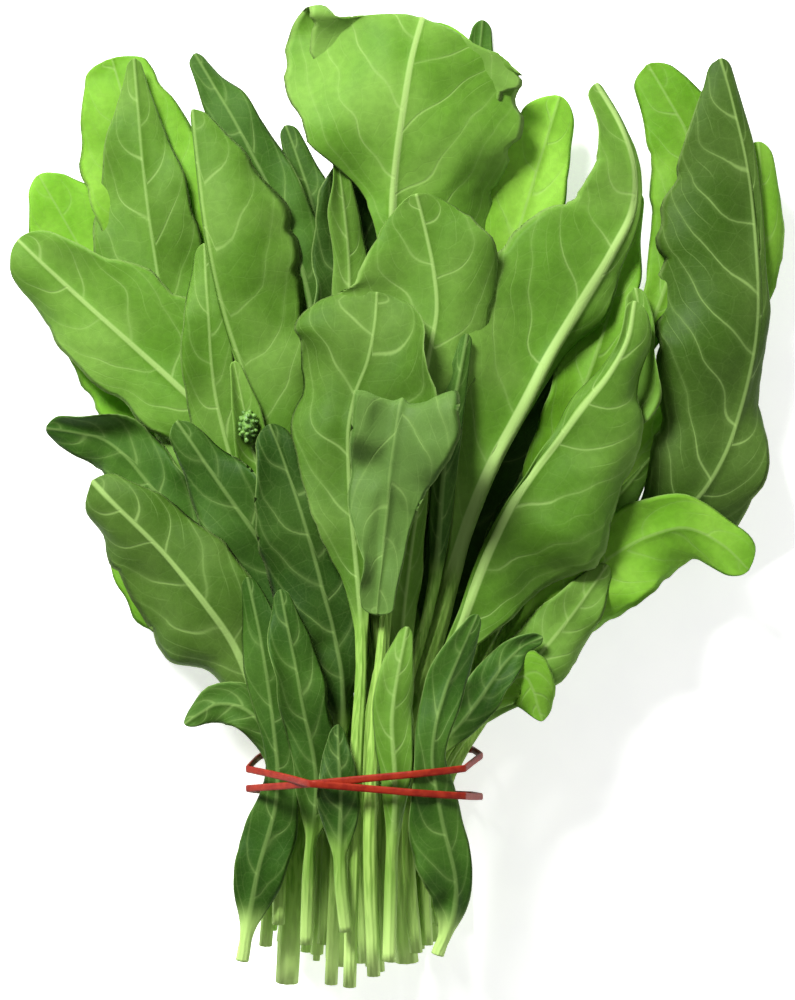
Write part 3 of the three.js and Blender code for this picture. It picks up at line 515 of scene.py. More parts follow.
def build_leaf(name, settings, random):
    """One leaf's fine piece, over the solid of that name."""
    rings = rings_along(name)
    widest = np.linalg.norm(rings[:, 0] - rings[:, rings.shape[1] // 2], axis=1).max()
    places = column_places(widest / 2, settings.grid_step)
    rows, radius, flat, line = coarse_rows(rings, places)
    knots = np.concatenate([[0.0], np.cumsum(np.linalg.norm(np.diff(line, axis=0), axis=1))])
    tip_width = np.linalg.norm(rows[-1, 0] - rows[-1, -1]) / 2
    tip_length = min(tip_width * LONGEST_TIP, LEAF_TIPS.get(name, settings.tip_length))
    along = lengthwise_places(knots, settings.grid_step * ROW_STEP, tip_length)
    sheet = smooth_through(rows, knots, along)
    radius = np.maximum(smooth_through(radius, knots, along), LEAST_RIB)[:, None]
    flat = np.clip(smooth_through(flat, knots, along), 0.0, 1.0)[:, None]

    cuts = margin_cuts(places, along, flat, settings, random)
    broad = broad_share(sheet, places)
    from_tip = np.clip((along - (knots[-1] - tip_length)) / tip_length, 0.0, 1.0)
    rounding = np.sqrt(np.maximum(1.0 - from_tip**2, 0.0))[:, None]
    sheet = read_across(sheet, places, places[None, :] * rounding * (1.0 - cuts * broad))

    fields = leaf_fields(sheet, places, along, knots[STALK_RING_COUNT], settings, random)
    lift = blade_lift(name, places, fields, settings, random)
    grown = smooth_step(fields.forward / SWELLING_START)
    tie_distance = np.abs(sheet[..., 1] - settings.tie_place)
    from_tie = smooth_step((tie_distance - FLAT_AT_TIE) / TIE_EASING)
    waved = NARROW_WAVES + (1.0 - NARROW_WAVES) * broad
    lift = lift * grown * flat * rounding * from_tie * waved
    sheet = sheet + sheet_normals(sheet) * lift[..., None]

    above, below = faces_from_sheet(places, fields, radius, flat, settings)
    every_point = np.ones_like(fields.forward)
    tone = LEAF_TONES.get(name, random.uniform(DARKEST_TONE, LIGHTEST_TONE))
    attributes = {
        "across_mm": fields.across,
        "along_mm": fields.forward,
        "lateral_mm": fields.lateral,
        "spacing_mm": fields.spacing * every_point,
        "rib_mm": radius / MILLIMETRE * every_point,
        "blade": flat * smooth_step(fields.forward / COLOUR_START),
        "margin": fields.edge * flat,
        "tint": tone * every_point,
        "rib_show": LEAF_RIBS.get(name, PLAIN_RIB) * every_point,
    }
    return leaf_object(name, sheet, sheet_normals(sheet), above, below, attributes)


def leaf_object(name, sheet, normal, above, below, attributes):
    """A closed mesh from the sheet's two faces, joined at the margins, the tip and the cut end."""
    rows, columns = sheet.shape[0] - 1, sheet.shape[1]
    lowest = sheet[..., 2] - np.maximum(normal[..., 2] * below, -normal[..., 2] * above)
    sheet[..., 2] += np.maximum(-lowest, 0.0)
    top = (sheet + normal * above[..., None])[:rows]
    bottom = (sheet - normal * below[..., None])[:rows, 1:-1]
    cut_ring = np.concatenate([top[0], bottom[0]])
    points = np.concatenate([
        top.reshape(-1, 3), bottom.reshape(-1, 3), sheet[-1, :1], cut_ring.mean(axis=0)[None],
    ])
    tip = rows * columns + rows * (columns - 2)
    upper = np.full((rows + 1, columns), tip)
    upper[:rows] = np.arange(rows * columns).reshape(rows, columns)
    lower = upper.copy()
    lower[:rows, 1:-1] = rows * columns + np.arange(rows * (columns - 2)).reshape(rows, -1)
    faces = []
    for grid, order in ((upper, [0, 1, 2, 3]), (lower, [3, 2, 1, 0])):
        quads = np.stack([grid[:-1, :-1], grid[:-1, 1:], grid[1:, 1:], grid[1:, :-1]], axis=-1)
        for quad in quads.reshape(-1, 4)[:, order].tolist():
            faces.append(tuple(dict.fromkeys(quad)))
    loop = upper[0].tolist() + lower[0, -2:0:-1].tolist()
    for k, corner in enumerate(loop):
        faces.append((tip + 1, loop[(k + 1) % len(loop)], corner))

    mesh = bpy.data.meshes.new("fine_" + name)
    mesh.from_pydata(points.tolist(), [], faces)
    mesh.polygons.foreach_set("use_smooth", [True] * len(faces))
    for attribute, values in attributes.items():
        in_order = np.concatenate([
            values[:rows].ravel(), values[:rows, 1:-1].ravel(), values[-1, :1], values[0, :1],
        ])
        mesh.attributes.new(attribute, "FLOAT", "POINT").data.foreach_set("value", in_order)
    under = np.concatenate([
        np.zeros(rows * columns), np.ones(rows * (columns - 2)), [0.5, 0.5],
    ])
    mesh.attributes.new("under", "FLOAT", "POINT").data.foreach_set("value", under)
    mesh.update()
    leaf = bpy.data.objects.new("fine_" + name, mesh)
    bpy.context.scene.collection.objects.link(leaf)
    return leaf


# Materials

# Scales of the patterns, in repeats a metre, and of the vein nets in repeats a millimetre
PATCH_SCALE = 28.0
VEIN_PATCH_SCALE = 45.0
MOTTLE_SCALE = 420.0
LEAF_GRAIN_SCALE = 900.0
STREAK_SCALE = (900.0, 40.0, 900.0)
NET_SCALE = 0.15
FINE_NET_SCALE = 0.62
PATTERN_SHIFT = 500.0

# How far below the blade, in millimetres, a stalk is greener, and where along the bunch, in
# metres, stalks turn pale towards their cut ends. That paleness is partly their own and partly
# painted light, brightened against the shade the cut ends lie in
GREEN_STALK_LENGTH = 70.0
PALE_END = -0.165
PALE_END_LENGTH = 0.047

# Soft edges of midribs and veins and the half width of a vein's forks, in millimetres
RIB_SOFT_EDGE = (-0.2, 0.5)
VEIN_SOFT_EDGE = (-0.2, 0.6)
FORK_HALF_WIDTH = 0.55
PALE_BESIDE_VEIN = 3.0

# Shares: the strength of forks and of veins at the margin, where on the half blade veins fade and
# forks begin, a vein's width at the margin, and the midrib's width and strength, least and most
FORK_STRENGTH = 0.45
VEIN_AT_MARGIN = 0.15
VEINS_FADE_FROM = 0.35
FORKS_FULL_FROM = 0.6
VEIN_WIDTH_AT_MARGIN = 0.3
RIB_WIDTHS = (0.3, 1.5)
RIB_STRENGTHS = (0.40, 0.95)

# Widths of the nets' lines as shares of their cells, and how strongly each net shows
NET_LINE = 0.055
FINE_NET_LINE = 0.10
NET_STRENGTH = 0.035
FINE_NET_STRENGTH = 0.03

# How strongly the bloom covers the underside, and where the pale rim of a margin begins, a painted
# highlight along the edge
UNDERSIDE_BLOOM = 0.22
LIT_RIM_FROM = 0.94
LIT_RIM_STRENGTH = 0.45

WHITE = (1.0, 1.0, 1.0)
PAPER_LIGHT = (0.96, 0.96, 0.95)
BUD_DARK = (0.060, 0.150, 0.022)
BUD_LIGHT = (0.150, 0.310, 0.050)


class Shading:
    """Nodes of one material, added and linked in the order in which they are read."""

    def __init__(self, name):
        self.material = bpy.data.materials.new(name)
        self.material.use_nodes = True
        self.tree = self.material.node_tree
        self.tree.nodes.clear()
        self.output = self.tree.nodes.new("ShaderNodeOutputMaterial")

    def fill(self, node, inputs):
        """Links a node's inputs to other nodes' outputs, or sets them to plain values."""
        for key, value in inputs.items():
            if isinstance(value, bpy.types.NodeSocket):
                self.tree.links.new(value, node.inputs[key])
            else:
                node.inputs[key].default_value = value
        return node

    def node(self, kind, inputs=None, **values):
        node = self.tree.nodes.new(kind)
        for name, value in values.items():
            setattr(node, name, value)
        return self.fill(node, inputs or {})

    def math(self, operation, *values):
        return self.node(
            "ShaderNodeMath", dict(enumerate(values)), operation=operation
        ).outputs[0]

    def field(self, name):
        return self.node("ShaderNodeAttribute", attribute_name=name).outputs["Fac"]

    def step(self, value, low, high, low_value=0.0, high_value=1.0):
        """Goes smoothly from one value to another as its input goes from low to high."""
        return self.node(
            "ShaderNodeMapRange",
            {"Value": value, "From Min": low, "From Max": high, "To Min": low_value,
             "To Max": high_value},
            interpolation_type="SMOOTHSTEP",
        ).outputs["Result"]

    def blend(self, share, first, second):
        """Mixes two colours, which are the mix node's inputs 6 and 7."""
        node = self.node("ShaderNodeMix", data_type="RGBA")
        return self.fill(node, {0: share, 6: opaque(first), 7: opaque(second)}).outputs[2]

    def place(self):
        return self.node("ShaderNodeTexCoord").outputs["Object"]

    def noise(self, scale, detail=2.0, vector=None):
        return self.node(
            "ShaderNodeTexNoise",
            {"Vector": vector or self.place(), "Scale": scale, "Detail": detail},
        ).outputs["Fac"]

    def bump(self, height, strength, distance):
        return self.node(
            "ShaderNodeBump", {"Height": height, "Strength": strength, "Distance": distance}
        ).outputs[0]

    def surface(self, inputs):
        return self.node("ShaderNodeBsdfPrincipled", inputs).outputs[0]

    def finish(self, shader):
        self.tree.links.new(shader, self.output.inputs["Surface"])
        return self.material


def opaque(colour):
    """A plain colour with full cover, or a socket as it is."""
    return colour if isinstance(colour, bpy.types.NodeSocket) else (*colour, 1.0)


def vein_mask(shade, to_vein, gap, margin, settings):
    """Side veins and their forks, which fade towards the margin and in patches."""
    at_margin = settings.vein_width * VEIN_WIDTH_AT_MARGIN
    width = shade.step(margin, 0.0, 1.0, settings.vein_width, at_margin)
    vein = shade.step(shade.math("SUBTRACT", to_vein, width), *VEIN_SOFT_EDGE, 1.0, 0.0)
    fading = shade.step(margin, VEINS_FADE_FROM, 1.0, 1.0, VEIN_AT_MARGIN)
    vein = shade.math("MULTIPLY", vein, fading)
    half_gap = shade.math("MULTIPLY", gap, 0.5)
    to_fork = shade.math("PINGPONG", shade.field("lateral_mm"), half_gap)
    fork = shade.step(to_fork, 0.0, FORK_HALF_WIDTH, FORK_STRENGTH, 0.0)
    fork = shade.math("MULTIPLY", fork, shade.step(margin, VEINS_FADE_FROM, FORKS_FULL_FROM))
    vein = shade.math("MAXIMUM", vein, fork)
    patch = shade.step(shade.noise(VEIN_PATCH_SCALE, 1.0), 0.35, 0.6, 0.35, 1.0)
    return shade.math("MULTIPLY", vein, patch)


def rib_mask(shade, settings, vein_share):
    """The midrib, as broad and as plain as the leaf shows it."""
    rib_show = shade.field("rib_show")
    least_width, most_width = (settings.rib_width * share for share in RIB_WIDTHS)
    share = shade.step(rib_show, 0.0, 1.0, least_width, most_width)
    edge = shade.math("MULTIPLY", shade.field("rib_mm"), share)
    across = shade.math("ABSOLUTE", shade.field("across_mm"))
    rib = shade.step(shade.math("SUBTRACT", across, edge), *RIB_SOFT_EDGE, 1.0, 0.0)
    least, most = (strength * vein_share for strength in RIB_STRENGTHS)
    return shade.math("MULTIPLY", rib, shade.step(rib_show, 0.0, 1.0, least, most))


def vein_net(shade, scale, line):
    """A net of fine veins on the blade, each leaf with its own part of the pattern."""
    own_part = shade.math("MULTIPLY", shade.field("tint"), PATTERN_SHIFT)
    place = shade.node(
        "ShaderNodeCombineXYZ",
        {"X": shade.math("ADD", shade.field("across_mm"), own_part), "Y": shade.field("along_mm")},
    ).outputs[0]
    distance = shade.node(
        "ShaderNodeTexVoronoi", {"Vector": place, "Scale": scale},
        voronoi_dimensions="2D", feature="DISTANCE_TO_EDGE",
    ).outputs["Distance"]
    return shade.step(distance, 0.0, line, 1.0, 0.0)


def blade_colour(shade, light, dark, patches, settings, paler):
    """Patches and mottling in the leaf's own tone, made paler by each layer and on the underside.

    Each layer of paler is a share by which the colour goes over to that of the veins.
    """
    colour = shade.blend(shade.step(patches, 0.35, 0.68), dark, light)
    mottle = shade.step(shade.noise(MOTTLE_SCALE, 1.0), 0.3, 0.7, 0.95, 1.05)
    tone = shade.math("MULTIPLY", shade.field("tint"), mottle)
    colour = shade.node("ShaderNodeHueSaturation", {"Color": colour, "Value": tone}).outputs[0]
    for share in paler:
        colour = shade.blend(share, colour, settings.vein_colour)
    bloom = shade.blend(UNDERSIDE_BLOOM, colour, settings.under_colour)
    return shade.blend(shade.step(shade.field("under"), 0.0, 1.0), colour, bloom)


def stalk_colour(shade, light, streak, settings):
    """Streaks along the stalk, which turns green below the blade and pale at its cut end."""
    stalk = shade.blend(
        shade.step(streak, 0.35, 0.62), settings.groove_colour, settings.stalk_colour
    )
    greener = shade.step(shade.field("along_mm"), -GREEN_STALK_LENGTH, 0.0, 0.0, 0.45)
    stalk = shade.blend(greener, stalk, light)
    place_y = shade.node("ShaderNodeSeparateXYZ", {0: shade.place()}).outputs["Y"]
    # painted light: the cut ends' pale colour is partly their own and partly brightened against the
    # shade they lie in
    paler = shade.step(place_y, PALE_END, PALE_END + PALE_END_LENGTH, 0.95, 0.0)
    return shade.blend(paler, stalk, settings.cut_end_colour)


def leaf_relief(shade, blade, net, fine_net, vein, streak):
    """Height of the leaf's grain, from sunk veins on the blade to ridges along the stalk."""
    grain = shade.math("MULTIPLY", shade.noise(LEAF_GRAIN_SCALE, 1.0), 0.25)
    nets = shade.math(
        "ADD", shade.math("MULTIPLY", net, 0.16), shade.math("MULTIPLY", fine_net, 0.08)
    )
    relief = shade.math("SUBTRACT", grain, nets)
    relief = shade.math("SUBTRACT", relief, shade.math("MULTIPLY", vein, 0.7))
    relief = shade.math("MULTIPLY", relief, shade.step(blade, 0.0, 1.0, 0.3, 1.0))
    ridges = shade.math("MULTIPLY", streak, shade.step(blade, 0.0, 1.0, 0.7, 0.0))
    return shade.math("ADD", relief, ridges)


def leaf_material(name, light, dark, settings, through, vein_share):
    """Blade, veins, underside and stalk of one kind of leaf."""
    shade = Shading(name)
    blade = shade.field("blade")
    margin = shade.field("margin")
    gap = shade.math("MULTIPLY", shade.field("spacing_mm"), 0.5)
    to_vein = shade.math("PINGPONG", shade.field("lateral_mm"), gap)
    vein = vein_mask(shade, to_vein, gap, margin, settings)
    net = vein_net(shade, NET_SCALE, NET_LINE)
    fine_net = vein_net(shade, FINE_NET_SCALE, FINE_NET_LINE)
    patches = shade.noise(PATCH_SCALE, 3.0)
    streaks = shade.node(
        "ShaderNodeMapping", {"Vector": shade.place(), "Scale": STREAK_SCALE}
    ).outputs[0]
    streak = shade.noise(1.0, 1.0, streaks)

    paler = (
        shade.step(to_vein, 0.0, PALE_BESIDE_VEIN, 0.08, 0.0),
        shade.math("MULTIPLY", net, NET_STRENGTH),
        shade.math("MULTIPLY", fine_net, FINE_NET_STRENGTH),
        shade.math("MULTIPLY", vein, settings.vein_strength * vein_share),
        rib_mask(shade, settings, vein_share),
        # painted highlight: a pale rim along the margin
        shade.step(margin, LIT_RIM_FROM, 1.0, 0.0, LIT_RIM_STRENGTH),
    )
    colour = shade.blend(
        blade,
        stalk_colour(shade, light, streak, settings),
        blade_colour(shade, light, dark, patches, settings, paler),
    )
    bump = shade.bump(leaf_relief(shade, blade, net, fine_net, vein, streak), 0.5, 0.00025)
    surface = shade.surface({
        "Base Color": colour, "Roughness": shade.step(patches, 0.3, 0.7, 0.52, 0.66),
        "Normal": bump, "Specular IOR Level": 0.10,
    })
    glow = shade.node(
        "ShaderNodeHueSaturation", {"Color": colour, "Saturation": 1.1, "Value": 1.5}
    ).outputs[0]
    lit_through = shade.node(
        "ShaderNodeBsdfTranslucent", {"Color": glow, "Normal": bump}
    ).outputs[0]
    mixed = shade.node("ShaderNodeMixShader", {0: through, 1: surface, 2: lit_through}).outputs[0]
    return shade.finish(mixed)


def rubber_material(settings):
    shade = Shading("tie_rubber")
    blotch = shade.noise(350.0, 3.0)
    grain = shade.noise(2600.0)
    colour = shade.blend(shade.step(blotch, 0.35, 0.65), settings.colour, settings.worn_colour)
    return shade.finish(shade.surface({
        "Base Color": colour, "Roughness": shade.step(grain, 0.3, 0.7, 0.42, 0.58),
        "Normal": shade.bump(grain, 0.35, 0.0002), "Specular IOR Level": 0.15,
    }))


def bud_material():
    shade = Shading("spinach_buds")
    spots = shade.noise(700.0, 3.0)
    colour = shade.blend(shade.step(spots, 0.35, 0.65), BUD_DARK, BUD_LIGHT)
    return shade.finish(shade.surface({
        "Base Color": colour, "Roughness": shade.step(spots, 0.3, 0.7, 0.45, 0.6),
        "Normal": shade.bump(shade.noise(1800.0), 0.4, 0.0003),
    }))


def floor_material(settings):
    shade = Shading("studio_paper")
    grain = shade.noise(60.0, 3.0)
    colour = shade.blend(shade.step(grain, 0.3, 0.7), settings.floor_colour, PAPER_LIGHT)
    return shade.finish(shade.surface({
        "Base Color": colour, "Roughness": 0.85, "Emission Color": opaque(WHITE),
        "Emission Strength": settings.floor_glow,
    }))


# What a user may change

class SpinachLeafSettings(bpy.types.PropertyGroup):
    tie_place: FloatProperty(
        name="Tie place", description="Where along the bunch the blades are pressed flat by the tie",
        default=-0.094, unit="LENGTH",
    )
    blade_thickness: FloatProperty(
        name="Blade thickness", description="Thickness of a leaf beside its ribs",
        default=0.0006, unit="LENGTH",
    )
    grid_step: FloatProperty(
        name="Grid step", description="Distance between the points of a leaf's surface",
        default=0.0017, unit="LENGTH",
    )
    quilting: FloatProperty(
        name="Quilting", description="How far the blade swells between its side veins",
        default=0.0006, unit="LENGTH",
    )
    unevenness: FloatProperty(
        name="Unevenness", description="Height of the slow waves of a blade",
        default=0.0024, unit="LENGTH",
    )
    ruffle_height: FloatProperty(
        name="Ruffle height", description="Height of the waves of a leaf's margin",
        default=0.0015, unit="LENGTH",
    )
    ruffle_length: FloatProperty(
        name="Ruffle length", description="Distance between the waves of a leaf's margin",
        default=0.026, unit="LENGTH",
    )
    notch_depth: FloatProperty(
        name="Notch depth", description="Depth of the margin's notches, as a share of the half blade",
        default=0.045, subtype="FACTOR",
    )
    notch_length: FloatProperty(
        name="Notch length", description="Distance between the margin's notches",
        default=0.016, unit="LENGTH",
    )
    lobe_depth: FloatProperty(
        name="Lobe depth", description="Depth of the corners between a margin's lobes, as a share",
        default=0.07, subtype="FACTOR",
    )
    lobe_length: FloatProperty(
        name="Lobe length", description="Length of a margin's lobes",
        default=0.034, unit="LENGTH",
    )
    tip_length: FloatProperty(
        name="Tip length", description="The longest stretch over which a leaf's tip is rounded",
        default=0.012, unit="LENGTH",
    )
    stalk_ridges: FloatProperty(
        name="Stalk ridges", description="Depth of the ridges along a stalk, as a share of it",
        default=0.06, subtype="FACTOR",
    )
    veins_a_side: FloatProperty(
        name="Veins a side", description="Number of side veins on each half of a blade",
        default=6.0,
    )
    vein_width: FloatProperty(
        name="Vein width", description="Half width of a side vein at the midrib, in millimetres",
        default=0.28,
    )
    vein_strength: FloatProperty(
        name="Vein strength", description="How plainly the side veins stand out in colour",
        default=0.42, subtype="FACTOR",
    )
    rib_width: FloatProperty(
        name="Midrib width", description="Width of the pale midrib, as a share of the rib's radius",
        default=0.5, subtype="FACTOR",
    )
    light_colour: FloatVectorProperty(
        name="Leaf, light", description="Lighter patches of most leaves",
        default=(0.160, 0.320, 0.045), subtype="COLOR",
    )
    dark_colour: FloatVectorProperty(
        name="Leaf, dark", description="Darker patches of most leaves",
        default=(0.096, 0.235, 0.018), subtype="COLOR",
    )
    # The dark leaves' colours are partly their own deeper green and partly painted shade of the
    # hollows deep in the bunch where these leaves lie
    shaded_light_colour: FloatVectorProperty(
        name="Dark leaf, light", description="Lighter patches of the dark leaves",
        default=(0.062, 0.160, 0.016), subtype="COLOR",
    )
    shaded_dark_colour: FloatVectorProperty(
        name="Dark leaf, dark", description="Darker patches of the dark leaves",
        default=(0.032, 0.100, 0.009), subtype="COLOR",
    )
    # The lime leaves' colours are partly their own paler green and partly painted light, the glow of
    # light shining through these thin leaves
    lime_light_colour: FloatVectorProperty(
        name="Lime leaf, light", description="Lighter patches of the thin lime leaves",
        default=(0.270, 0.530, 0.055), subtype="COLOR",
    )
    lime_dark_colour: FloatVectorProperty(
        name="Lime leaf, dark", description="Darker patches of the thin lime leaves",
        default=(0.170, 0.420, 0.022), subtype="COLOR",
    )
    vein_colour: FloatVectorProperty(
        name="Veins", description="Midribs and veins",
        default=(0.300, 0.460, 0.130), subtype="COLOR",
    )
    under_colour: FloatVectorProperty(
        name="Underside", description="Bloom on the underside of a leaf",
        default=(0.260, 0.420, 0.110), subtype="COLOR",
    )
    stalk_colour: FloatVectorProperty(
        name="Stalks", description="Bare stalks",
        default=(0.290, 0.470, 0.095), subtype="COLOR",
    )
    groove_colour: FloatVectorProperty(
        name="Stalk grooves", description="Darker streaks along the stalks",
        default=(0.170, 0.320, 0.046), subtype="COLOR",
    )
    # The cut ends' colour is partly their own paler green and partly painted light, brightened
    # against the shade they lie in
    cut_end_colour: FloatVectorProperty(
        name="Cut ends", description="Paler stalks near their cut ends",
        default=(0.520, 0.740, 0.230), subtype="COLOR",
    )


class SpinachBudSettings(bpy.types.PropertyGroup):
    bud_size: FloatProperty(
        name="Bud size", description="Radius of one bud", default=0.0009, unit="LENGTH",
    )
    cluster_size: FloatProperty(
        name="Cluster size", description="Radius of the cluster of buds",
        default=0.0029, unit="LENGTH",
    )
    place: FloatProperty(
        name="Place", description="Where along the bunch the cluster sits", default=0.024,
        unit="LENGTH",
    )
    seed: IntProperty(name="Seed", description="Arrangement of the buds", default=4)


class SpinachTieSettings(bpy.types.PropertyGroup):
    smoothing: IntProperty(
        name="Smoothing", description="How finely the band's edges are rounded", default=2,
    )
    colour: FloatVectorProperty(
        name="Rubber", description="Colour of the band",
        default=(0.190, 0.009, 0.003), subtype="COLOR",
    )
    worn_colour: FloatVectorProperty(
        name="Rubber, stretched", description="Lighter places where the band is stretched",
        default=(0.260, 0.020, 0.006), subtype="COLOR",
    )


class SpinachStudioSettings(bpy.types.PropertyGroup):
    floor_size: FloatProperty(
        name="Floor size", description="Side of the floor", default=6.0, unit="LENGTH",
    )
    floor_colour: FloatVectorProperty(
        name="Floor", description="Colour of the floor", default=(0.90, 0.90, 0.90),
        subtype="COLOR",
    )
    floor_glow: FloatProperty(
        name="Floor glow", description="Brightness of the light that the floor gives off",
        default=0.6,
    )
    camera_height: FloatProperty(
        name="Camera height", description="Height of the camera above the table",
        default=1.65, unit="LENGTH",
    )
    view_height: FloatProperty(
        name="View height", description="Length on the bunch that the picture's height takes in",
        default=0.3333, unit="LENGTH",
    )
    focus_height: FloatProperty(
        name="Level in scale", description="Height above the table at which the view is to scale",
        default=0.045, unit="LENGTH",
    )
    key_power: FloatProperty(
        name="Main light", description="Power of the large soft light", default=74.0,
        unit="POWER",
    )
    fill_power: FloatProperty(
        name="Fill light", description="Power of the fill light", default=6.0, unit="POWER",
    )
    surround: FloatProperty(
        name="Surround", description="Brightness of the white surroundings", default=0.24,
    )
    use_fill: BoolProperty(name="Use fill", description="Whether the fill light is on", default=True)


# Making the pieces

def dress(piece, node):
    """Says which body a piece rides on, which node it replaces, if any."""
    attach(piece, "root")
    if node:
        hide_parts(node)


# Of each kind of leaf: its material, the settings of its lighter and darker colour, the share of
# light that it lets through, and how plainly its veins show
LEAF_KINDS = {
    "leaf_mid": ("spinach_leaf", "light_colour", "dark_colour", 0.10, 1.0),
    # painted shade: the dark kind's colours are partly its own deeper green and partly the shade of
    # the hollows it lies in
    "leaf_dark": ("spinach_leaf_dark_and_shaded", "shaded_light_colour", "shaded_dark_colour", 0.06, 0.5),
    # painted light: the lime kind's colours are partly its own paler green and partly the glow of
    # light shining through it
    "leaf_lime": ("spinach_leaf_lime_and_lit_through", "lime_light_colour", "lime_dark_colour", 0.28, 0.8),
}


class SPINACH_OT_leaves(bpy.types.Operator):
    """Give every leaf its veins, quilted blade, waved margin and ridged stalk"""
    bl_idname = "spinach.leaves"
    bl_label = "Leaves"

    def execute(self, context):
        settings = context.scene.spinach_leaves
        materials = {
            slot: leaf_material(
                name, getattr(settings, light), getattr(settings, dark), settings,
                through, vein_share,
            )
            for slot, (name, light, dark, through, vein_share) in LEAF_KINDS.items()
        }
        for number, (name, slot) in enumerate(LEAF_LOOKS.items()):
            leaf = build_leaf(name, settings, np.random.default_rng(number + 1))
            leaf.data.materials.append(materials[slot])
            dress(leaf, name)
        return {"FINISHED"}


# The cluster of buds: the core's rows and its shape as shares of the cluster's size, and the buds'
# least and greatest stretch
CORE_STEPS = 8
CORE_SHAPE = (0.9, 1.7, 0.8)
BUD_SEGMENTS = 12
BUD_RINGS = 8
BUD_SPACING = 1.5
MOST_BUDS_A_SQUARE_METRE = 900000.0
SMALLEST_BUD = (0.75, 0.75, 1.0)
LARGEST_BUD = (1.05, 1.05, 1.6)


def bud_tree():
    """Buds scattered over a rounded core, each joined to it."""
    tree = bpy.data.node_groups.new("bud_cluster", "GeometryNodeTree")
    for name, direction, kind in (
        ("Geometry", "INPUT", "Geometry"),
        ("Bud radius", "INPUT", "Float"),
        ("Distance", "INPUT", "Float"),
        ("Seed", "INPUT", "Int"),
        ("Material", "INPUT", "Material"),
        ("Geometry", "OUTPUT", "Geometry"),
    ):
        tree.interface.new_socket(name, in_out=direction, socket_type="NodeSocket" + kind)
    inputs = tree.nodes.new("NodeGroupInput")
    output = tree.nodes.new("NodeGroupOutput")
    scatter = tree.nodes.new("GeometryNodeDistributePointsOnFaces")
    scatter.distribute_method = "POISSON"
    scatter.inputs["Density Max"].default_value = MOST_BUDS_A_SQUARE_METRE
    bud = tree.nodes.new("GeometryNodeMeshUVSphere")
    bud.inputs["Segments"].default_value = BUD_SEGMENTS
    bud.inputs["Rings"].default_value = BUD_RINGS
    place = tree.nodes.new("GeometryNodeInstanceOnPoints")
    size = tree.nodes.new("FunctionNodeRandomValue")
    size.data_type = "FLOAT_VECTOR"
    size.inputs["Min"].default_value = SMALLEST_BUD
    size.inputs["Max"].default_value = LARGEST_BUD
    join = tree.nodes.new("GeometryNodeJoinGeometry")
    real = tree.nodes.new("GeometryNodeRealizeInstances")
    smooth = tree.nodes.new("GeometryNodeSetShadeSmooth")
    paint = tree.nodes.new("GeometryNodeSetMaterial")
    for source, name, target, into in (
        (inputs, "Geometry", scatter, "Mesh"),
        (inputs, "Distance", scatter, "Distance Min"),
        (inputs, "Seed", scatter, "Seed"),
        (inputs, "Bud radius", bud, "Radius"),
        (scatter, "Points", place, "Points"),
        (scatter, "Rotation", place, "Rotation"),
        (bud, "Mesh", place, "Instance"),
        (size, "Value", place, "Scale"),
        (place, "Instances", join, "Geometry"),
        (inputs, "Geometry", join, "Geometry"),
        (join, "Geometry", real, "Geometry"),
        (real, "Geometry", smooth, "Geometry"),
        (smooth, "Geometry", paint, "Geometry"),
        (inputs, "Material", paint, "Material"),
        (paint, "Geometry", output, "Geometry"),
    ):
        tree.links.new(source.outputs[name], target.inputs[into])
    return tree


def bud_core(centre, size):
    """A rounded core, longest along the bunch, on which the buds sit."""
    around = CORE_STEPS * 2
    points = []
    for i in range(CORE_STEPS + 1):
        polar = math.pi * i / CORE_STEPS
        for k in range(1 if i in (0, CORE_STEPS) else around):
            turn = 2 * math.pi * k / around
            points.append(centre + size * Vector((
                CORE_SHAPE[0] * math.sin(polar) * math.cos(turn),
                CORE_SHAPE[1] * math.sin(polar) * math.sin(turn),
                CORE_SHAPE[2] * math.cos(polar),
            )))
    middle = [list(range(1 + i * around, 1 + (i + 1) * around)) for i in range(CORE_STEPS - 1)]
    rows = [[0], *middle, [len(points) - 1]]
    faces = []
    for near, far in zip(rows, rows[1:]):
        for k in range(around):
            quad = [
                near[k % len(near)], far[k % len(far)],
                far[(k + 1) % len(far)], near[(k + 1) % len(near)],
            ]
            faces.append(tuple(dict.fromkeys(quad)))
    mesh = bpy.data.meshes.new("bud_core")
    mesh.from_pydata([tuple(point) for point in points], [], faces)
    return mesh


class SPINACH_OT_buds(bpy.types.Operator):
    """Set a cluster of flower buds on the young shoot"""
    bl_idname = "spinach.buds"
    bl_label = "Buds"

    def execute(self, context):
        settings = context.scene.spinach_buds
        rings = rings_along("leaf_bud_shoot")
        rib = rings.mean(axis=1)
        centre = Vector([np.interp(settings.place, rib[:, 1], rib[:, axis]) for axis in range(3)])
        centre.z += settings.cluster_size * 0.5
        core = bpy.data.objects.new("bud_core", bud_core(centre, settings.cluster_size))
        context.scene.collection.objects.link(core)
        tree = bud_tree()
        modifier = core.modifiers.new("buds", "NODES")
        modifier.node_group = tree
        values = {
            "Bud radius": settings.bud_size,
            "Distance": settings.bud_size * BUD_SPACING,
            "Seed": settings.seed,
            "Material": bud_material(),
        }
        for item in tree.interface.items_tree:
            if item.in_out == "INPUT" and item.name in values:
                modifier[item.identifier] = values[item.name]
        context.view_layer.update()
        depsgraph = context.evaluated_depsgraph_get()
        mesh = bpy.data.meshes.new_from_object(core.evaluated_get(depsgraph))
        bpy.data.objects.remove(core)
        buds = bpy.data.objects.new("bud_cluster", mesh)
        context.scene.collection.objects.link(buds)
        dress(buds, None)
        return {"FINISHED"}


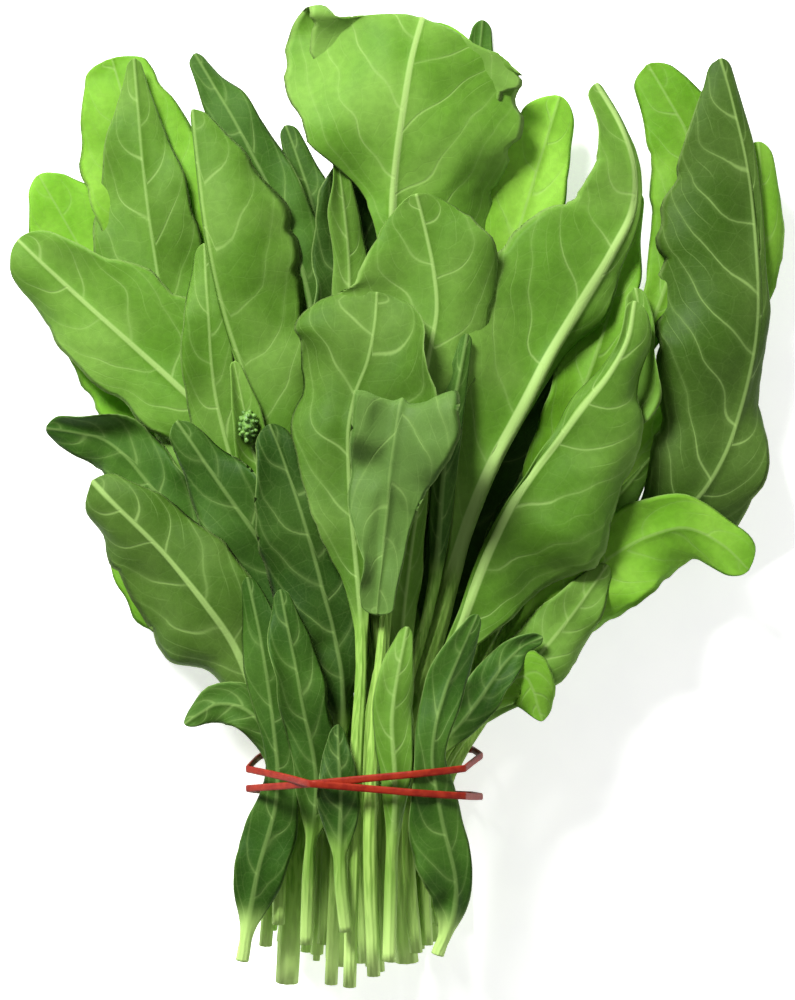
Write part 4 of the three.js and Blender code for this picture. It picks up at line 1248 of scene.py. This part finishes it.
class SPINACH_OT_tie(bpy.types.Operator):
    """Round the rubber band and give it its finish"""
    bl_idname = "spinach.tie"
    bl_label = "Tie"

    def execute(self, context):
        settings = context.scene.spinach_tie
        points, triangles = welded_mesh("tie")
        mesh = bpy.data.meshes.new("rubber_band")
        mesh.from_pydata(points.tolist(), [], triangles.tolist())
        mesh.polygons.foreach_set("use_smooth", [True] * len(mesh.polygons))
        mesh.materials.append(rubber_material(settings))
        band = bpy.data.objects.new("rubber_band", mesh)
        context.scene.collection.objects.link(band)
        rounding = band.modifiers.new("rounding", "SUBSURF")
        rounding.levels = settings.smoothing
        rounding.render_levels = settings.smoothing
        dress(band, "tie")
        return {"FINISHED"}


# The camera's film in millimetres, as Blender counts it
SENSOR_WIDTH = 36.0

# The studio, in metres: the floor lies a hair below the table's level, so that it doesn't cut the
# lowest leaves
FLOOR_DROP = 0.2 * MILLIMETRE
LIT_PLACE = (0.0, 0.0, 0.03)
MAIN_LIGHT_PLACE = (-0.7, 1.2, 1.2)
MAIN_LIGHT_SIZE = 0.55
FILL_LIGHT_PLACE = (1.1, -0.5, 1.2)
FILL_LIGHT_SIZE = 1.6
CAMERA_X = 0.00133
CAMERA_Y = -0.00083


def area_light(name, power, size, place):
    """A square light that faces the middle of the bunch."""
    light = bpy.data.lights.new(name, "AREA")
    light.energy = power
    light.size = size
    lamp = bpy.data.objects.new(name, light)
    lamp.location = place
    lamp.rotation_euler = (Vector(LIT_PLACE) - Vector(place)).to_track_quat("-Z", "Y").to_euler()
    bpy.context.scene.collection.objects.link(lamp)


class SPINACH_OT_studio(bpy.types.Operator):
    """Set the floor, the soft lights and the camera that looks down"""
    bl_idname = "spinach.studio"
    bl_label = "Studio"

    def execute(self, context):
        settings = context.scene.spinach_studio
        half = settings.floor_size / 2
        corners = [
            (side * half, end * half, -FLOOR_DROP)
            for side, end in ((-1, -1), (1, -1), (1, 1), (-1, 1))
        ]
        mesh = bpy.data.meshes.new("studio_floor")
        mesh.from_pydata(corners, [], [(0, 1, 2, 3)])
        mesh.materials.append(floor_material(settings))
        floor = bpy.data.objects.new("studio_floor", mesh)
        context.scene.collection.objects.link(floor)

        area_light("main_light", settings.key_power, MAIN_LIGHT_SIZE, MAIN_LIGHT_PLACE)
        if settings.use_fill:
            area_light("fill_light", settings.fill_power, FILL_LIGHT_SIZE, FILL_LIGHT_PLACE)
        world = bpy.data.worlds.new("studio_surround")
        world.use_nodes = True
        background = world.node_tree.nodes["Background"]
        background.inputs["Color"].default_value = opaque(WHITE)
        background.inputs["Strength"].default_value = settings.surround
        context.scene.world = world

        lens = bpy.data.cameras.new("view_from_above")
        lens.sensor_width = SENSOR_WIDTH
        distance = settings.camera_height - settings.focus_height
        lens.lens = SENSOR_WIDTH * distance / settings.view_height
        camera = bpy.data.objects.new("view_from_above", lens)
        camera.location = (CAMERA_X, CAMERA_Y, settings.camera_height)
        context.scene.collection.objects.link(camera)
        context.scene.camera = camera
        context.scene.view_settings.view_transform = "Standard"
        return {"FINISHED"}


class SPINACH_PT_panel(bpy.types.Panel):
    """Lists the steps that finish the bunch"""
    bl_label = "Spinach bunch"
    bl_idname = "SPINACH_PT_panel"
    bl_space_type = "VIEW_3D"
    bl_region_type = "UI"
    bl_category = "Spinach"

    def draw(self, context):
        scene = context.scene
        rows = (
            (SPINACH_OT_studio, scene.spinach_studio),
            (SPINACH_OT_leaves, scene.spinach_leaves),
            (SPINACH_OT_buds, scene.spinach_buds),
            (SPINACH_OT_tie, scene.spinach_tie),
        )
        for operator, settings in rows:
            box = self.layout.box()
            box.operator(operator.bl_idname)
            for name in settings.__annotations__:
                box.prop(settings, name)


SETTINGS = {
    "spinach_leaves": SpinachLeafSettings,
    "spinach_buds": SpinachBudSettings,
    "spinach_tie": SpinachTieSettings,
    "spinach_studio": SpinachStudioSettings,
}
CLASSES = (
    *SETTINGS.values(),
    SPINACH_OT_studio,
    SPINACH_OT_leaves,
    SPINACH_OT_buds,
    SPINACH_OT_tie,
    SPINACH_PT_panel,
)


def register():
    for item in CLASSES:
        bpy.utils.register_class(item)
    for name, group in SETTINGS.items():
        setattr(bpy.types.Scene, name, PointerProperty(type=group))


def unregister():
    for name in SETTINGS:
        delattr(bpy.types.Scene, name)
    for item in reversed(CLASSES):
        bpy.utils.unregister_class(item)


def main():
    register()
    bpy.ops.spinach.studio()
    bpy.ops.spinach.leaves()
    bpy.ops.spinach.buds()
    bpy.ops.spinach.tie()


if __name__ == "__main__":
    main()
